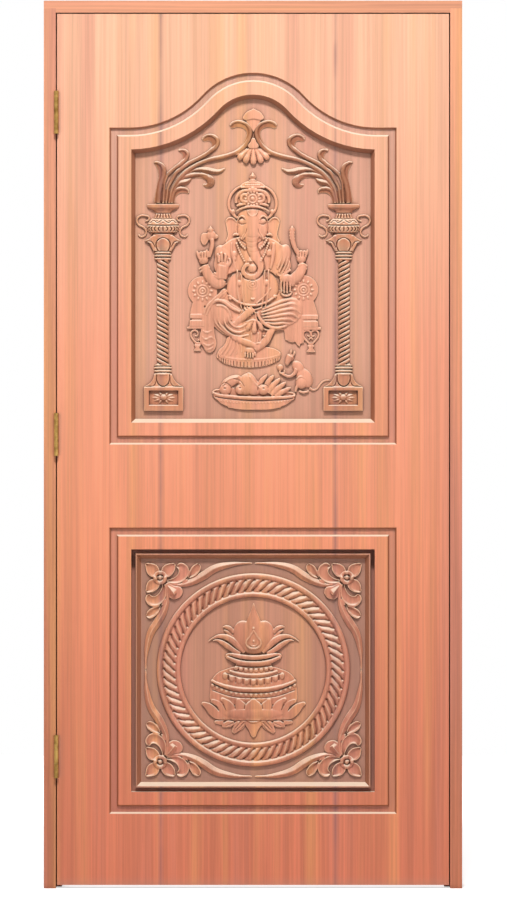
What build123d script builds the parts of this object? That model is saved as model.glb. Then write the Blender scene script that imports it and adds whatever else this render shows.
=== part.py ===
# A carved timber door: an edge-glued leaf with two carved panels, hung on butt hinges in its lining.
# Everything is drawn as seen from the front, in millimetres: x to the right, y up from the floor and
# z out towards the viewer, with z = 0 on the front face of the leaf. The last step stands it up.
from build123d import *
import math
import os

# Leaf
LEAF_W = 914.0
LEAF_H = 2032.0
LEAF_T = 44.0
LEFT_BOARD_W = 242.0
RIGHT_BOARD_W = 265.0
SIDE_GAP = 3.0
FLOOR_GAP = 8.0

# Loose tongues that line up the boards
TONGUE_W = 30.0
TONGUE_T = 6.0
TONGUE_COVER = 4.0

# Layout of the two moulded panels on the leaf
STILE_W = 122.0
BOTTOM_RAIL_H = 166.0
LOWER_MOULDING_H = 668.0
LOCK_RAIL_H = 193.5
TOP_RAIL_H = 137.0
ARCH_RISE = 128.0
ARCH_SHOULDER_W = 47.0
ARCH_HOLLOW_SHARE = 0.59

# Moulding around each panel
GROOVE_W = 21.0
GROOVE_WALL_W = 4.0
GROOVE_D = 6.0
BAND_W = 30.0
BEVEL_W = 9.0

# Carved panels
UPPER_FIELD_D = 16.0
UPPER_PANEL_T = 14.0
LOWER_FIELD_D = 18.0
LOWER_PANEL_T = 12.0
LOWER_RIM_D = 5.0
LOWER_RIM_W = 3.0
LOWER_MOAT_W = 10.0
PANEL_CLEARANCE = 0.2
UPPER_RELIEF_H = 13.0
LOWER_RELIEF_H = 13.0
CARVING_ROOT = 1.0

# Lining of the doorway
JAMB_T = 28.0
JAMB_DEPTH = 115.0
HOUSING_D = 10.0
STOP_T = 12.0
STOP_W = 35.0
STOP_GAP = 1.0

# Butt hinges
HINGE_H = 100.0
HINGE_PLATE_W = 34.0
HINGE_PLATE_T = 3.0
KNUCKLE_R = 5.5
KNUCKLE_GAP = 0.3
PIN_R = 3.0
PIN_CLEARANCE = 0.05
PIN_PROUD = 6.0
TOP_HINGE_DOWN = 180.0
BOTTOM_HINGE_UP = 250.0

OVERRUN = 2.0

# Places that follow from the sizes above
LEAF_LEFT = -LEAF_W / 2
LEAF_RIGHT = LEAF_W / 2
LEAF_TOP = FLOOR_GAP + LEAF_H
LEFT_SEAM = LEAF_LEFT + LEFT_BOARD_W
RIGHT_SEAM = LEAF_RIGHT - RIGHT_BOARD_W
MOULDING_W = LEAF_W - 2 * STILE_W
LOWER_FOOT = FLOOR_GAP + BOTTOM_RAIL_H
UPPER_FOOT = LOWER_FOOT + LOWER_MOULDING_H + LOCK_RAIL_H
ARCH_CROWN = LEAF_TOP - TOP_RAIL_H
ARCH_SHOULDER = ARCH_CROWN - ARCH_RISE
PANEL_INSET = GROOVE_W + BAND_W
HEAD_UNDER = LEAF_TOP + SIDE_GAP
DOORWAY_HALF_W = LEAF_W / 2 + SIDE_GAP
PIN_X = LEAF_LEFT - SIDE_GAP / 2
STANDING = (Align.CENTER, Align.CENTER, Align.MIN)


def box(x0, x1, y0, y1, z0, z1):
    corner = (Align.MIN, Align.MIN, Align.MIN)
    return Pos(x0, y0, z0) * Box(x1 - x0, y1 - y0, z1 - z0, align=corner)


# Outlines of the moulded panels, each set in by a distance from the outermost edge


def arched_face(inset, z):
    half_w = MOULDING_W / 2 - inset
    foot = UPPER_FOOT + inset
    run = MOULDING_W / 2 - ARCH_SHOULDER_W
    turn = 2 * math.atan2(ARCH_RISE, run)
    radii = run / math.sin(turn)
    hollow_r = radii * ARCH_HOLLOW_SHARE + inset
    crown_r = radii * (1 - ARCH_HOLLOW_SHARE) - inset
    hollow_y = ARCH_SHOULDER - inset + hollow_r
    crown_y = ARCH_CROWN - inset - crown_r

    def hollow(side, angle):
        return (side * (run - hollow_r * math.sin(angle)), hollow_y - hollow_r * math.cos(angle))

    def crown(side, angle):
        return (side * crown_r * math.sin(angle), crown_y + crown_r * math.cos(angle))

    start = math.asin(max(run - half_w, 0) / hollow_r)
    middle = (start + turn) / 2
    shoulder = hollow(1, start)[1]
    edges = [
        Line((-half_w, shoulder), (-half_w, foot)),
        Line((-half_w, foot), (half_w, foot)),
        Line((half_w, foot), (half_w, shoulder)),
        ThreePointArc(hollow(1, start), hollow(1, middle), hollow(1, turn)),
        ThreePointArc(hollow(1, turn), crown(1, 0), hollow(-1, turn)),
        ThreePointArc(hollow(-1, turn), hollow(-1, middle), hollow(-1, start)),
    ]
    if half_w > run:
        edges.append(Line((half_w, shoulder), hollow(1, start)))
        edges.append(Line(hollow(-1, start), (-half_w, shoulder)))
    return Pos(0, 0, z) * make_face(edges)


def square_face(inset, z):
    middle = LOWER_FOOT + LOWER_MOULDING_H / 2
    return Pos(0, middle, z) * Rectangle(MOULDING_W - 2 * inset, LOWER_MOULDING_H - 2 * inset)


def tapered(face_at, inset_top, z_top, inset_low, z_low):
    return loft([face_at(inset_top, z_top), face_at(inset_low, z_low)], ruled=True)


def routed_groove(face_at):
    wall_slope_w = GROOVE_WALL_W * OVERRUN / GROOVE_D
    outer = tapered(face_at, -wall_slope_w, OVERRUN, GROOVE_WALL_W, -GROOVE_D)
    inner = tapered(face_at, GROOVE_W + wall_slope_w, OVERRUN, GROOVE_W - GROOVE_WALL_W, -GROOVE_D)
    return outer - inner


def upper_recess():
    slope_w = BEVEL_W * OVERRUN / UPPER_FIELD_D
    foot_inset = PANEL_INSET + BEVEL_W
    bevelled = tapered(arched_face, PANEL_INSET - slope_w, OVERRUN, foot_inset, -UPPER_FIELD_D)
    pocket = extrude(arched_face(foot_inset, -UPPER_FIELD_D - UPPER_PANEL_T), UPPER_PANEL_T)
    return bevelled + pocket


def lower_recess():
    depth = LOWER_FIELD_D + LOWER_PANEL_T
    return extrude(square_face(PANEL_INSET, -depth), depth + OVERRUN)


# Hinges: three on the left edge, each a plate on the leaf, a plate on the jamb and a pin


def hinge_feet():
    top = LEAF_TOP - TOP_HINGE_DOWN - HINGE_H
    bottom = FLOOR_GAP + BOTTOM_HINGE_UP
    return {"top": top, "middle": (top + bottom) / 2, "bottom": bottom}


def leaf_plate_seat(foot):
    return box(LEAF_LEFT, LEAF_LEFT + HINGE_PLATE_T, foot, foot + HINGE_H, -HINGE_PLATE_W, 0)


def jamb_plate_seat(foot):
    face = -DOORWAY_HALF_W
    return box(face - HINGE_PLATE_T, face, foot, foot + HINGE_H, -HINGE_PLATE_W, 0)


def knuckle(plate_x, low, high):
    upright = Rot(-90, 0, 0) * Cylinder(KNUCKLE_R, high - low, align=STANDING)
    root = box(plate_x, plate_x + HINGE_PLATE_T, low, high, 0, PIN_PROUD)
    return Pos(PIN_X, low, PIN_PROUD) * upright + root


def pin_bore(foot):
    bore = Cylinder(PIN_R + PIN_CLEARANCE, HINGE_H + 2 * OVERRUN, align=STANDING)
    return Pos(PIN_X, foot - OVERRUN, PIN_PROUD) * Rot(-90, 0, 0) * bore


def hinge_leaf_plate(foot):
    third = HINGE_H / 3
    barrel = knuckle(LEAF_LEFT, foot + third + KNUCKLE_GAP, foot + 2 * third - KNUCKLE_GAP)
    return leaf_plate_seat(foot) + barrel - pin_bore(foot)


def hinge_jamb_plate(foot):
    third = HINGE_H / 3
    plate_x = -DOORWAY_HALF_W - HINGE_PLATE_T
    low = knuckle(plate_x, foot, foot + third)
    high = knuckle(plate_x, foot + 2 * third, foot + HINGE_H)
    return jamb_plate_seat(foot) + low + high - pin_bore(foot)


def hinge_pin(foot):
    stem = Cylinder(PIN_R, HINGE_H, align=STANDING)
    return Pos(PIN_X, foot, PIN_PROUD) * Rot(-90, 0, 0) * stem


# Leaf: three boards edge-glued over loose tongues, then routed for the mouldings and panels


def loose_tongue(seam):
    z0 = TONGUE_COVER - LEAF_T
    return box(seam - TONGUE_W / 2, seam + TONGUE_W / 2, FLOOR_GAP, LEAF_TOP, z0, z0 + TONGUE_T)


def leaf_boards():
    cuts = [routed_groove(arched_face), routed_groove(square_face), upper_recess(), lower_recess()]
    tongues = [loose_tongue(LEFT_SEAM), loose_tongue(RIGHT_SEAM)]
    seats = [leaf_plate_seat(foot) for foot in hinge_feet().values()]
    edges = {
        "left_board": (LEAF_LEFT, LEFT_SEAM),
        "centre_board": (LEFT_SEAM, RIGHT_SEAM),
        "right_board": (RIGHT_SEAM, LEAF_RIGHT),
    }
    boards = {}
    for name, (x0, x1) in edges.items():
        board = box(x0, x1, FLOOR_GAP, LEAF_TOP, -LEAF_T, 0)
        boards[name] = board - cuts - tongues - seats
    return boards


# Lining: two jambs housed into the head, with planted stops


def jamb(side):
    inner = side * DOORWAY_HALF_W
    outer = inner + side * JAMB_T
    return box(min(inner, outer), max(inner, outer), 0, HEAD_UNDER + HOUSING_D, -JAMB_DEPTH, 0)


def head_jamb():
    half_w = DOORWAY_HALF_W + JAMB_T
    board = box(-half_w, half_w, HEAD_UNDER, HEAD_UNDER + JAMB_T, -JAMB_DEPTH, 0)
    return board - [jamb(-1), jamb(1)]


def side_stop(side):
    face = side * DOORWAY_HALF_W
    edge = face - side * STOP_T
    z1 = -LEAF_T - STOP_GAP
    return box(min(face, edge), max(face, edge), 0, HEAD_UNDER - STOP_T, z1 - STOP_W, z1)


def head_stop():
    z1 = -LEAF_T - STOP_GAP
    return box(-DOORWAY_HALF_W, DOORWAY_HALF_W, HEAD_UNDER - STOP_T, HEAD_UNDER, z1 - STOP_W, z1)


# Carving. The tables give places as picture points, x to the right and y downwards, and half widths in
# the same points; each last number is a share of the relief height of that panel.

UPPER_MIDDLE_PIXEL = 253.0
UPPER_FOOT_PIXEL = 417.3
UPPER_PIXELS_W = 234.0
UPPER_PIXELS_H = 319.4
LOWER_MIDDLE_PIXEL = 253.0
LOWER_CENTRE_PIXEL = 670.6
LOWER_PIXELS = 223.0

# How each kind of form is rounded off: share of the half width, share of the height
DOME_SIDES = (12, 8)
DOME_SIDE_PIXEL = 12.0
DOME_PROFILE_SHARES = [(1.0, 0.0), (0.86, 0.62), (0.5, 1.0)]
LIMB_PROFILE_SHARES = [(-1.0, 0.0), (-0.55, 0.86), (0.55, 0.86), (1.0, 0.0)]
RIDGE_PROFILE_SHARES = [(-1.0, 0.0), (0.0, 1.0), (1.0, 0.0)]
RUN_TAPER_SHARE = 0.55
PLATE_EDGE_PIXEL = 1.1

# Rounded forms: x, y, half width, half height, turn in degrees, relief share
pillar_domes_pixels = [
    (163.4, 397.6, 4.2, 4.2, 0, 0.62),
    (163.4, 379.5, 6.0, 5.6, 0, 0.72),
    (163.2, 245.5, 6.0, 5.8, 0, 0.8),
]
figure_domes_pixels = [
    (202.5, 290.6, 14.4, 14.4, 0, 0.3),
    (202.5, 290.6, 9.0, 9.0, 0, 0.48),
    (303.0, 290.0, 14.4, 14.4, 0, 0.3),
    (303.0, 290.0, 9.0, 9.0, 0, 0.48),
    (232.0, 212.5, 3.6, 3.6, 0, 0.4),
    (272.4, 212.5, 3.6, 3.6, 0, 0.4),
    (231.0, 226.5, 5.6, 9.6, -8, 0.45),
    (274.0, 226.5, 5.6, 9.6, 8, 0.45),
    (252.6, 176.4, 3.8, 4.6, 0, 0.6),
    (252.5, 185.0, 10.4, 5.4, 0, 0.7),
    (252.4, 198.6, 17.4, 11.4, 0, 0.84),
    (252.2, 199.4, 5.7, 5.7, 0, 1.0),
    (252.4, 224.0, 15.0, 17.6, 0, 0.86),
    (252.4, 257.0, 29.0, 20.0, 0, 0.55),
    (252.7, 285.5, 25.8, 22.0, 0, 0.9),
    (252.7, 284.4, 5.0, 5.0, 0, 1.02),
    (203.2, 255.4, 5.4, 5.4, 0, 0.62),
    (301.6, 254.8, 6.0, 5.4, 0, 0.62),
    (209.6, 235.8, 8.2, 4.8, 10, 0.45),
    (222.0, 267.4, 5.6, 7.2, 10, 0.86),
    (286.0, 283.0, 7.2, 7.0, 0, 0.84),
    (282.6, 312.6, 20.4, 12.4, 10, 0.84),
    (253.4, 328.6, 13.0, 9.0, 0, 0.55),
    (249.4, 354.4, 31.6, 11.6, 0, 0.3),
    (250.6, 352.6, 6.2, 5.0, 0, 0.66),
    (225.7, 389.4, 5.9, 5.9, 0, 0.5),
    (240.3, 389.0, 5.4, 5.4, 0, 0.6),
    (231.7, 382.4, 4.6, 6.6, -30, 0.4),
    (249.6, 383.4, 5.6, 9.4, 0, 0.5),
    (263.5, 388.8, 5.6, 6.4, 0, 0.6),
    (304.0, 382.6, 7.2, 7.6, 0, 0.6),
    (289.6, 359.6, 4.0, 6.6, 8, 0.6),
    (280.3, 368.3, 3.6, 3.6, 0, 0.5),
]

# Limbs and stems with a rounded back: points (x, y, half width), relief share
figure_limbs_pixels = [
    ([(226.5, 246.5, 7.5), (219.5, 259.0, 8.6), (218.5, 272.0, 7.6), (221.0, 281.0, 5.8)], 0.72),
    ([(215.5, 285.0, 6.4), (208.0, 276.0, 6.0), (204.0, 266.0, 5.2), (203.4, 258.0, 4.2)], 0.58),
    ([(208.6, 258.0, 1.6), (211.4, 249.0, 2.2), (211.8, 241.0, 2.2), (210.6, 227.6, 1.4)], 0.4),
    ([(278.5, 246.5, 7.5), (286.5, 259.0, 8.6), (287.0, 271.0, 7.6), (286.0, 279.0, 6.2)], 0.72),
    ([(291.5, 284.0, 6.4), (298.5, 275.0, 6.0), (302.0, 265.0, 5.2), (301.8, 258.0, 4.2)], 0.58),
    ([(296.6, 252.0, 1.8), (292.4, 245.0, 2.6), (292.0, 234.0, 2.8), (292.4, 226.0, 1.4)], 0.4),
    ([(221.5, 304.0, 7.5), (224.0, 316.0, 11.4), (233.0, 327.0, 10.6), (244.0, 338.0, 7.6),
      (251.0, 347.0, 5.0)], 0.8),
    ([(270.0, 318.0, 5.0), (259.0, 314.6, 6.2), (247.0, 314.8, 5.8), (238.4, 320.0, 3.8)], 0.98),
    ([(270.5, 331.0, 3.8), (264.5, 340.5, 4.8), (256.0, 350.0, 4.2)], 0.62),
    ([(293.0, 365.5, 4.0), (297.0, 372.0, 5.6), (301.6, 380.0, 6.6)], 0.54),
    ([(293.5, 364.0, 2.2), (288.0, 367.5, 2.0), (282.5, 368.6, 1.8)], 0.5),
]
trunk_pixels = [
    (252.4, 222.0, 6.2), (252.4, 234.0, 7.0), (252.6, 244.0, 6.8), (254.6, 254.0, 6.0),
    (258.6, 262.0, 5.2), (258.8, 270.0, 4.6), (253.6, 275.4, 4.2), (247.0, 273.6, 3.6),
    (245.4, 268.4, 3.0), (249.4, 266.0, 2.2),
]
TRUNK_SHARE = 1.04
halo_pixels = [
    (230.0, 209.0, 1.9), (228.2, 201.0, 1.9), (230.6, 191.6, 1.9), (236.6, 184.4, 1.9),
    (244.6, 180.6, 1.9), (252.4, 179.4, 1.9), (260.2, 180.6, 1.9), (268.2, 184.4, 1.9),
    (274.2, 191.6, 1.9), (276.6, 201.0, 1.9), (274.8, 209.0, 1.9),
]
HALO_SHARE = 0.42

# Pointed leaves, folds and other ridges: points (x, y, half width), relief share
foliage_ridges_pixels = [
    ([(157.8, 203.0, 2.6), (158.4, 190.0, 3.0), (161.6, 176.0, 4.0), (160.4, 166.4, 4.4),
      (153.8, 162.0, 0.8)], 0.55),
    ([(163.0, 203.0, 1.4), (164.6, 183.0, 1.6), (171.6, 170.6, 2.6), (183.0, 161.4, 3.8),
      (185.8, 154.0, 3.6), (179.0, 150.4, 0.8)], 0.7),
    ([(166.0, 203.0, 1.2), (168.4, 186.6, 1.6), (180.0, 169.6, 2.2), (194.0, 161.0, 2.6),
      (208.0, 152.8, 3.0), (215.8, 143.0, 4.0), (210.0, 137.0, 3.6), (202.4, 139.4, 0.8)], 0.62),
    ([(168.8, 203.0, 1.2), (172.0, 188.0, 1.6), (183.0, 173.4, 2.2), (202.0, 162.2, 3.2),
      (222.0, 156.4, 3.4), (237.6, 151.2, 3.4), (247.2, 141.6, 3.4), (248.4, 131.0, 3.4),
      (241.6, 124.0, 3.8), (230.4, 126.0, 0.8)], 0.8),
    ([(176.0, 186.0, 0.8), (185.0, 176.0, 1.4), (196.0, 169.8, 1.8), (207.0, 169.8, 3.2),
      (216.0, 171.4, 2.8), (225.0, 168.0, 0.8)], 0.6),
    ([(170.4, 203.0, 1.0), (175.0, 188.0, 1.6), (184.0, 178.0, 2.4), (198.0, 175.2, 2.9),
      (210.6, 180.6, 4.4), (203.0, 184.8, 1.6)], 0.7),
    ([(172.6, 196.0, 0.8), (176.4, 186.0, 2.2), (183.4, 182.2, 3.2), (191.0, 178.0, 0.8)], 0.55),
    ([(172.2, 203.0, 2.2), (174.6, 194.0, 2.6), (181.0, 189.4, 3.2), (188.4, 191.4, 1.2)], 0.6),
]
crest_lobes_pixels = [
    ([(252.6, 148.0, 1.0), (244.0, 150.4, 2.4), (235.4, 151.6, 3.0)], 0.6),
    ([(252.8, 148.0, 1.0), (246.6, 153.4, 2.4), (239.6, 158.4, 3.2)], 0.66),
    ([(253.0, 148.0, 1.0), (249.8, 155.0, 2.4), (246.2, 162.0, 3.2)], 0.72),
]
figure_ridges_pixels = [
    ([(253.3, 148.0, 1.0), (253.3, 156.0, 2.6), (253.3, 164.8, 3.2)], 0.78),
    ([(237.6, 211.6, 1.6), (244.6, 207.4, 1.8), (252.4, 206.4, 1.8), (260.2, 207.4, 1.8),
      (267.0, 211.6, 1.6)], 1.0),
    ([(244.0, 235.6, 2.2), (241.2, 240.6, 1.0)], 1.0),
    ([(260.6, 235.6, 2.2), (263.6, 240.6, 1.0)], 1.0),
    ([(235.3, 271.0, 1.9), (233.6, 284.0, 1.9), (235.6, 298.0, 1.9), (238.4, 307.0, 1.4)], 1.02),
    ([(269.6, 271.0, 1.9), (271.4, 284.0, 1.9), (269.4, 298.0, 1.9), (266.6, 307.0, 1.4)], 1.02),
    ([(281.4, 287.0, 1.6), (282.0, 293.0, 1.2)], 0.9),
    ([(285.4, 288.0, 1.6), (286.0, 294.0, 1.2)], 0.9),
    ([(289.4, 287.0, 1.6), (289.6, 293.0, 1.2)], 0.9),
    ([(262.0, 315.0, 1.0), (277.0, 308.6, 1.8), (291.0, 303.0, 1.8), (298.0, 304.0, 1.0)], 1.0),
    ([(263.0, 317.0, 1.0), (279.0, 313.4, 1.8), (299.0, 311.0, 1.2)], 1.0),
    ([(264.0, 320.0, 1.0), (279.0, 319.4, 1.8), (295.0, 319.6, 1.2)], 0.98),
    ([(213.0, 306.0, 1.4), (219.0, 302.0, 1.8), (230.0, 304.6, 1.8), (240.0, 308.6, 1.2)], 0.9),
    ([(216.0, 319.0, 1.2), (226.0, 324.0, 1.8), (238.0, 333.0, 1.8), (248.0, 343.0, 1.2)], 0.94),
    ([(249.0, 322.0, 1.8), (249.0, 332.0, 1.4)], 0.72),
    ([(254.0, 323.0, 1.8), (254.0, 334.0, 1.4)], 0.72),
    ([(259.0, 322.0, 1.8), (259.0, 332.0, 1.4)], 0.72),
    ([(224.0, 340.0, 1.6), (222.0, 349.0, 2.2), (219.0, 358.0, 1.4)], 0.5),
    ([(231.0, 341.0, 1.6), (230.0, 352.0, 2.4), (228.0, 363.0, 1.6)], 0.5),
    ([(238.0, 344.0, 1.6), (238.6, 355.0, 2.4), (238.0, 366.0, 1.6)], 0.5),
    ([(247.0, 358.0, 1.6), (248.0, 363.0, 2.4), (248.0, 367.4, 1.6)], 0.5),
    ([(257.0, 357.0, 1.6), (258.6, 362.0, 2.4), (259.0, 366.4, 1.6)], 0.5),
    ([(266.0, 356.0, 1.6), (268.6, 360.0, 2.4), (269.6, 364.0, 1.6)], 0.5),
    ([(274.0, 353.0, 1.6), (277.0, 356.0, 2.2), (278.6, 359.0, 1.4)], 0.5),
    ([(270.0, 393.0, 2.0), (269.4, 384.0, 3.0), (267.2, 375.4, 1.0)], 0.5),
    ([(272.0, 393.0, 2.0), (273.6, 385.0, 3.0), (273.2, 377.0, 1.0)], 0.6),
    ([(274.0, 393.4, 2.0), (278.6, 387.0, 3.0), (279.8, 379.2, 1.0)], 0.55),
    ([(276.0, 394.0, 2.0), (282.6, 390.0, 3.0), (285.4, 383.2, 1.0)], 0.5),
    ([(278.0, 395.0, 2.0), (285.6, 393.4, 2.8), (290.0, 389.0, 1.0)], 0.45),
    ([(212.4, 392.6, 1.6), (225.0, 396.0, 2.2), (253.0, 398.4, 2.4), (281.0, 398.0, 2.2),
      (295.2, 396.0, 1.6)], 0.72),
    ([(290.0, 354.0, 1.4), (290.2, 350.4, 0.8)], 0.5),
    ([(293.0, 355.0, 1.6), (294.2, 351.4, 0.8)], 0.5),
    ([(296.6, 377.0, 2.0), (295.6, 384.0, 2.2), (293.0, 390.0, 1.6)], 0.7),
    ([(309.0, 387.0, 1.8), (317.0, 389.2, 1.8), (323.8, 382.4, 1.6), (331.6, 380.8, 0.8)], 0.4),
]

# Flat-topped forms: outline points, relief share
pillar_plates_pixels = [
    ([(144.0, 386.2), (183.0, 386.2), (183.0, 410.8), (144.0, 410.8)], 0.55),
    ([(154.8, 374.0), (171.8, 374.0), (180.6, 386.6), (146.2, 386.6)], 0.55),
    ([(156.2, 256.0), (168.9, 256.0), (168.9, 366.0), (156.2, 366.0)], 0.5),
    ([(153.4, 252.6), (171.9, 252.6), (180.8, 241.6), (180.0, 238.8), (145.4, 238.8),
      (144.6, 241.6)], 0.62),
]
urn_outline_pixels = [
    (152.0, 239.4), (174.4, 239.4), (173.2, 235.6), (178.2, 231.6), (179.4, 226.4), (177.4, 220.6),
    (173.0, 215.6), (171.4, 211.2), (174.0, 208.6), (178.8, 206.8), (178.4, 203.8), (147.0, 203.8),
    (146.6, 206.8), (151.4, 208.6), (154.0, 211.2), (152.4, 215.6), (148.0, 220.6), (146.0, 226.4),
    (147.2, 231.6), (152.2, 235.6),
]
URN_SHARE = 0.66
figure_plates_pixels = [
    ([(243.0, 119.0), (264.0, 119.0), (263.0, 115.4), (258.6, 113.4), (253.3, 108.4), (248.0, 113.4),
      (243.6, 115.4)], 0.5),
    ([(245.4, 120.0), (261.4, 120.0), (253.4, 128.6)], 0.4),
    ([(253.3, 136.8), (257.6, 141.6), (259.0, 146.0), (253.3, 149.6), (247.6, 146.0), (249.0, 141.6)], 0.6),
    ([(190.0, 302.0), (201.0, 302.0), (201.6, 312.4), (204.0, 318.0), (200.6, 325.0), (188.0, 325.0),
      (188.6, 318.0), (187.6, 312.6)], 0.3),
    ([(186.4, 325.4), (203.0, 325.4), (203.0, 328.4), (186.4, 328.4)], 0.42),
    ([(190.0, 328.8), (203.0, 328.8), (202.4, 338.0), (200.0, 344.0), (201.6, 351.0), (194.0, 351.0),
      (195.0, 343.0), (191.4, 338.0)], 0.3),
    ([(302.0, 302.0), (314.0, 301.6), (318.0, 310.0), (318.6, 326.0), (301.0, 326.0), (300.6, 312.0)], 0.3),
    ([(303.4, 326.0), (321.3, 326.0), (321.3, 331.0), (303.4, 331.0)], 0.42),
    ([(304.6, 331.4), (319.4, 331.4), (318.4, 338.6), (313.6, 345.0), (315.0, 353.0), (307.6, 353.0),
      (309.0, 345.0), (305.0, 338.6)], 0.3),
    ([(224.6, 288.4), (211.4, 300.5), (203.6, 310.8), (203.4, 328.0), (203.2, 342.4), (205.6, 351.0),
      (210.0, 352.0), (215.7, 345.8), (216.4, 325.0), (226.0, 305.0)], 0.45),
    ([(284.6, 318.0), (300.0, 312.0), (303.0, 326.0), (302.6, 341.0), (296.0, 344.0), (291.0, 341.0),
      (285.6, 342.0)], 0.45),
    ([(216.0, 352.0), (282.6, 350.6), (280.0, 357.6), (270.0, 364.6), (250.8, 368.0), (231.0, 365.6),
      (217.6, 359.6)], 0.38),
    ([(216.0, 395.6), (291.6, 397.2), (284.6, 404.6), (270.0, 408.0), (238.0, 408.0), (223.0, 403.6)], 0.5),
]

# Bars across the pillars: half width, y, half thickness, relief share
pillar_bars_pixels = [
    (9.2, 366.6, 1.5, 0.7), (9.2, 370.0, 1.5, 0.75), (9.2, 373.2, 1.5, 0.7),
    (9.2, 253.8, 1.5, 0.75), (9.2, 257.2, 1.5, 0.7),
    (18.0, 239.8, 1.6, 0.75), (15.9, 205.4, 1.9, 0.8), (16.6, 225.6, 1.4, 0.85), (12.4, 218.6, 1.2, 0.8),
]
PILLAR_MIDDLE_PIXEL = 162.6
urn_handle_pixels = [
    (175.6, 221.4, 1.2), (182.0, 216.6, 1.5), (187.0, 220.4, 1.5), (183.6, 226.8, 1.4), (181.0, 235.6, 1.1),
]
URN_HANDLE_SHARE = 0.4
rosette_petals_pixels = [
    ([(160.6, 395.6, 0.8), (155.6, 393.4, 2.0), (150.6, 391.4, 0.7)], 0.5),
    ([(160.6, 399.6, 0.8), (155.6, 401.8, 2.0), (150.6, 403.8, 0.7)], 0.5),
    ([(166.2, 395.6, 0.8), (171.2, 393.4, 2.0), (176.2, 391.4, 0.7)], 0.5),
    ([(166.2, 399.6, 0.8), (171.2, 401.8, 2.0), (176.2, 403.8, 0.7)], 0.5),
]
ROSETTE_PANEL_PIXELS = (149.0, 177.6, 390.2, 405.4)
ROSETTE_PANEL_SHARE = 0.28
SHAFT_TOP_PIXEL = 262.0
SHAFT_FOOT_PIXEL = 363.0
SHAFT_STRAND_HALF_W_PIXEL = 4.7
SHAFT_STRANDS = 20
SHAFT_STRAND_SLOPE_SHARE = 0.5
SHAFT_STRAND_WIDTH_SHARE = 0.42
SHAFT_STRAND_RELIEF_SHARE = 0.72

# Lower panel: wreath, pot on its lotus, corner sprays
WREATH_CENTRE_PIXELS = (253.0, 668.7)
WREATH_TUBE_R_PIXELS = (75.6, 94.0)
WREATH_TUBE_HALF_W_PIXEL = 2.6
WREATH_TUBE_SIDES = 30
WREATH_TUBE_RELIEF_SHARE = 0.6
WREATH_STRANDS = 64
WREATH_STRAND_R_PIXELS = (79.0, 90.6)
WREATH_STRAND_HALF_W_PIXEL = 2.4
WREATH_STRAND_LEAN_SHARE = 0.08
WREATH_STRAND_RELIEF_SHARE = 0.75

pot_domes_pixels = [
    (253.6, 637.0, 20.4, 18.0, 0, 0.8),
    (253.6, 640.0, 4.6, 8.0, 0, 0.95),
    (253.8, 690.0, 43.0, 15.0, 0, 0.7),
    (253.8, 677.0, 29.0, 10.0, 0, 0.75),
    (253.8, 657.6, 28.4, 6.4, 0, 0.6),
]
pot_ridges_pixels = [
    ([(253.8, 626.0, 7.0), (253.6, 615.0, 4.2), (253.8, 602.8, 0.8)], 0.7),
    ([(226.0, 655.0, 1.6), (240.0, 652.6, 2.0), (253.6, 651.8, 2.0), (267.4, 652.6, 2.0),
      (281.4, 655.0, 1.6)], 0.85),
    ([(226.6, 660.6, 1.6), (240.0, 662.8, 2.2), (253.6, 663.6, 2.2), (267.4, 662.8, 2.2),
      (280.8, 660.6, 1.6)], 0.85),
    ([(236.0, 668.4, 1.2), (253.6, 670.4, 1.6), (271.4, 668.4, 1.2)], 0.85),
    ([(211.0, 681.4, 1.4), (230.0, 686.4, 2.0), (253.8, 688.8, 2.0), (277.6, 686.4, 2.0),
      (296.6, 681.4, 1.4)], 0.95),
    ([(253.6, 719.0, 5.0), (253.6, 709.0, 6.4), (253.6, 698.0, 0.8)], 0.95),
    ([(253.8, 716.0, 6.0), (253.8, 727.0, 7.0), (253.8, 737.0, 0.8)], 0.95),
]
pot_side_ridges_pixels = [
    ([(244.0, 653.0, 1.6), (232.6, 642.4, 4.4), (221.6, 637.6, 3.4), (208.3, 641.4, 0.8)], 0.6),
    ([(240.0, 646.0, 1.6), (234.0, 636.0, 3.4), (228.6, 630.0, 2.8), (222.0, 627.0, 0.8)], 0.55),
    ([(241.0, 718.4, 4.6), (239.6, 709.0, 5.4), (238.0, 699.4, 0.8)], 0.86),
    ([(229.0, 717.6, 4.4), (225.6, 709.0, 5.0), (221.6, 699.2, 0.8)], 0.78),
    ([(218.0, 715.6, 3.6), (214.6, 708.6, 4.2), (210.6, 700.8, 0.8)], 0.68),
    ([(211.0, 713.0, 2.6), (206.6, 708.4, 3.2), (201.6, 703.2, 0.8)], 0.58),
    ([(241.6, 717.6, 5.0), (237.6, 725.6, 5.8), (231.8, 733.0, 0.8)], 0.84),
    ([(230.4, 716.6, 4.2), (226.6, 721.6, 4.6), (221.6, 726.8, 0.8)], 0.72),
    ([(221.0, 714.6, 3.0), (217.6, 718.0, 3.2), (213.6, 721.6, 0.8)], 0.6),
]
spray_domes_pixels = [
    (160.0, 577.7, 6.6, 6.6, 0, 0.6),
    (160.0, 577.7, 2.8, 2.8, 0, 0.9),
    (150.6, 568.6, 6.6, 4.4, -44, 0.5),
]
spray_ridges_pixels = [
    ([(164.0, 571.6, 2.6), (169.4, 567.6, 4.2), (175.4, 563.8, 0.8)], 0.6),
    ([(167.4, 581.4, 1.4), (174.4, 574.0, 3.2), (179.6, 568.0, 4.0), (185.4, 566.4, 3.4),
      (185.8, 571.6, 1.0)], 0.66),
    ([(188.4, 578.4, 0.9), (193.6, 571.0, 2.8), (200.4, 564.2, 0.7)], 0.5),
    ([(167.4, 584.0, 1.2), (182.0, 585.4, 2.2), (196.0, 581.0, 3.4), (208.6, 571.8, 4.2),
      (226.0, 564.6, 3.0), (251.0, 563.8, 0.7)], 0.7),
]
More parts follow.
